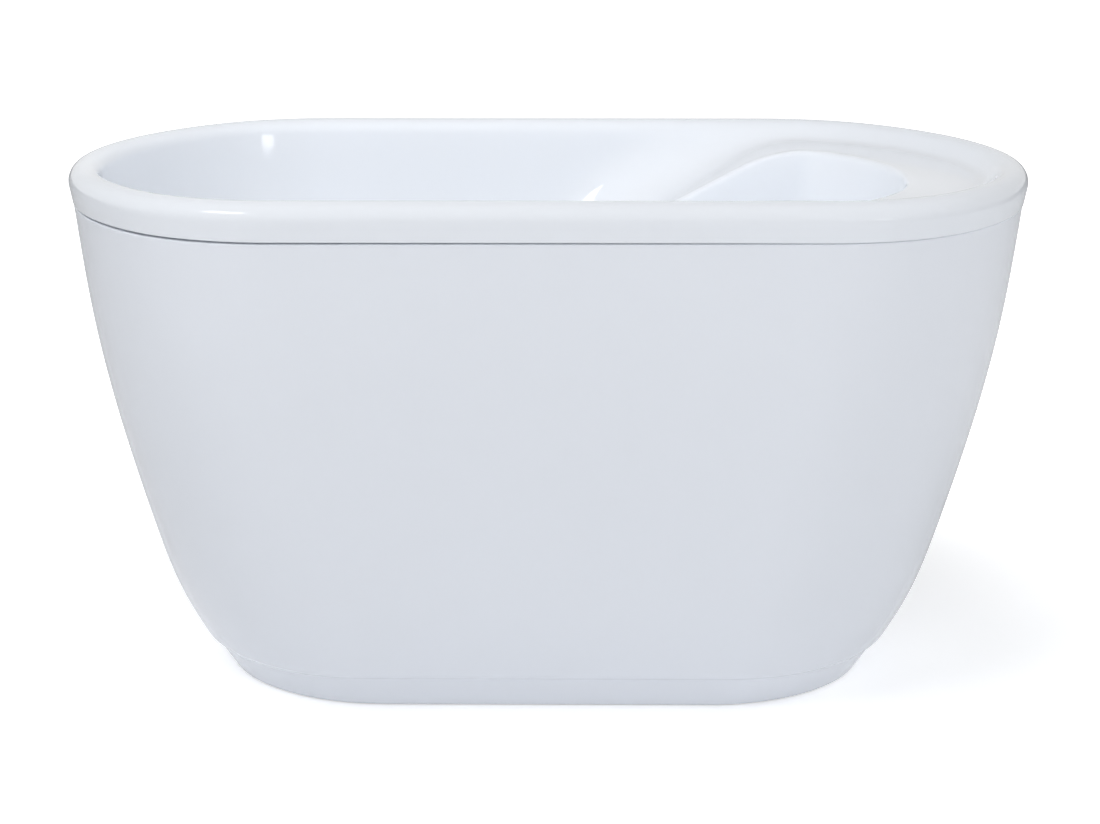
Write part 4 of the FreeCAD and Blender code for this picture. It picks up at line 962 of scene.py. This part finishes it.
fade = add_node(
    tree,
    "ShaderNodeMapRange",
    {"interpolation_type": "SMOOTHSTEP"},
    {"From Min": SHADOW_NEAR, "From Max": SHADOW_FAR, "To Min": SHADOW_GLOW, "To Max": 1.0},
    {"Value": (away, "Value")},
)
white = add_node(
    tree, "ShaderNodeMath", {"operation": "MULTIPLY"}, links={0: (seen, "Is Camera Ray"), 1: (fade, "Result")}
)
squeezed = add_node(
    tree,
    "ShaderNodeVectorMath",
    {"operation": "MULTIPLY"},
    {1: (PLINTH_SHAPE_SHARE, 1, 1)},
    {0: (place, "Object")},
)
from_plinth = add_node(tree, "ShaderNodeVectorMath", {"operation": "LENGTH"}, links={0: (squeezed, 0)})
bounce = add_node(
    tree,
    "ShaderNodeMapRange",
    {"interpolation_type": "SMOOTHSTEP"},
    {"From Min": BOUNCE_NEAR, "From Max": BOUNCE_FAR, "To Min": BOUNCE_GLOW, "To Max": BOUNCE_LEAST},
    {"Value": (from_plinth, "Value")},
)
glow = add_node(
    tree, "ShaderNodeMath", {"operation": "MAXIMUM"}, links={0: (white, 0), 1: (bounce, "Result")}
)
shader.inputs["Emission Color"].default_value = (1, 1, 1, 1)
tree.links.new(glow.outputs[0], shader.inputs["Emission Strength"])
side = add_node(tree, "ShaderNodeNewGeometry")
clear = add_node(tree, "ShaderNodeBsdfTransparent")
one_sided = add_node(
    tree, "ShaderNodeMixShader", links={0: (side, "Backfacing"), 1: (shader, "BSDF"), 2: (clear, "BSDF")}
)
tree.links.new(one_sided.outputs[0], tree.nodes["Material Output"].inputs["Surface"])
mesh.materials.append(pale)
print("floor laid, half its side:", FLOOR_HALF, "m")

# %% [markdown]
# ## Light
# White acrylic is shaped by soft light alone, so wide lamps stand all round: a bank in front and one
# behind, one high on the left and two on the right. A narrow one over the basin fills it, as light off
# a white wall would. A polished sheet would mirror every lamp, so most are kept out of reflections.
# Two windows do show, as bright marks on the rim and on the inner wall. The backdrop is white for the
# camera and nearly white in reflections, and gives the tub itself only a little light.

# %% Backdrop
MIRRORED_LEVEL, BACKDROP_FRONT, BACKDROP_BACK = 0.78, 0.15, 0.35
world = bpy.data.worlds.new("soft studio")
bpy.context.scene.world = world
world.use_nodes = True
tree = world.node_tree
tree.nodes.clear()
seen = add_node(tree, "ShaderNodeLightPath")
mirrored = add_node(
    tree, "ShaderNodeMath", {"operation": "MULTIPLY"}, {1: MIRRORED_LEVEL}, {0: (seen, "Is Glossy Ray")}
)
shown = add_node(
    tree, "ShaderNodeMath", {"operation": "MAXIMUM"}, links={0: (seen, "Is Camera Ray"), 1: (mirrored, 0)}
)
way = add_node(tree, "ShaderNodeTexCoord")
sides = add_node(tree, "ShaderNodeSeparateXYZ", links={0: (way, "Generated")})
backdrop = add_node(
    tree,
    "ShaderNodeMapRange",
    values={"To Min": BACKDROP_FRONT, "To Max": BACKDROP_BACK},
    links={"Value": (sides, "Y")},
)
level = add_node(
    tree, "ShaderNodeMath", {"operation": "MAXIMUM"}, links={0: (shown, 0), 1: (backdrop, "Result")}
)
sky = add_node(tree, "ShaderNodeBackground", values={"Color": (1, 1, 1, 1)}, links={"Strength": (level, 0)})
add_node(tree, "ShaderNodeOutputWorld", links={"Surface": (sky, "Background")})
print("backdrop level from", BACKDROP_FRONT, "in front to", BACKDROP_BACK, "behind")


# %% Lamps
def softbox(name, place, target, wide, tall, power, mirrored):
    """A rectangular lamp that looks at a point, and shows in reflections only where that is asked."""
    lamp = bpy.data.lights.new(name, "AREA")
    lamp.shape, lamp.size, lamp.size_y, lamp.energy = "RECTANGLE", wide, tall, power
    made = bpy.data.objects.new(name, lamp)
    bpy.context.scene.collection.objects.link(made)
    made.location = place
    made.rotation_euler = (Vector(target) - Vector(place)).to_track_quat("-Z", "Y").to_euler()
    made.visible_camera, made.visible_glossy = False, mirrored


# Name, place, what it looks at, width and height in metres, watts, and whether it is mirrored
LAMPS = (
    ("front_bank", (0, -3.6, 2.2), (0, 0, 0.5), 3.0, 1.6, 33, False),
    ("rear_bank", (0, 3.6, 1.8), (0, 0, 0.4), 3.0, 1.6, 20, False),
    ("left_bank", (-1.7, -0.9, 3.4), (0, 0, 0.5), 2.4, 2.4, 52, False),
    ("right_side", (3.4, 0.2, 2.4), (0, 0, 0.5), 1.8, 1.4, 30, False),
    ("right_strip", (1.88, -2.14, 1.3), (0, 0, 0.6), 0.3, 1.1, 8, False),
    ("basin_fill", (-0.05, -0.12, 0.82), (-0.05, 0.33, 0.6), 1.0, 0.12, 0.58, False),
    ("left_window", (-1.68, -1.96, 2.5), (0, 0, 0.6), 1.0, 0.5, 14, True),
    ("right_window", (1.77, -2.2, 0.77), (-0.39, 0.29, 0.65), 0.5, 0.14, 2.0, True),
)
for lamp in LAMPS:
    softbox(*lamp)
print("lamps set:", len(LAMPS))

# %% [markdown]
# ## Camera
# The camera stands where the photograph was taken from, in front of the tub and above its rim, with
# a longer lens. Its place and its focal length, in pixels of the picture, were fitted to the tub's
# outline. A small shift of the lens puts the tub where it is in the frame.

# %% Camera
PHOTO_WIDE, PHOTO_TALL, SENSOR, FAR = 1100, 824, 36, 100
FOCUS, AXIS = 1872.4, (521.0, 409.2)
CAMERA_PLACE, CAMERA_TARGET = Vector((-0.0166, -2.3734, 1.0533)), Vector((-0.0332, 0, 0.3415))
lens = bpy.data.cameras.new("photo_view")
lens.sensor_fit, lens.sensor_width = "HORIZONTAL", SENSOR
lens.lens = FOCUS * lens.sensor_width / PHOTO_WIDE
lens.shift_x = (PHOTO_WIDE / 2 - AXIS[0]) / PHOTO_WIDE
lens.shift_y = (AXIS[1] - PHOTO_TALL / 2) / PHOTO_WIDE
lens.clip_end = FAR
camera = bpy.data.objects.new("photo_view", lens)
bpy.context.scene.collection.objects.link(camera)
camera.location = CAMERA_PLACE
camera.rotation_euler = (CAMERA_TARGET - CAMERA_PLACE).to_track_quat("-Z", "Y").to_euler()
bpy.context.scene.camera = camera
bpy.context.scene.view_settings.view_transform = "Standard"
print("lens:", round(lens.lens, 1), "mm")
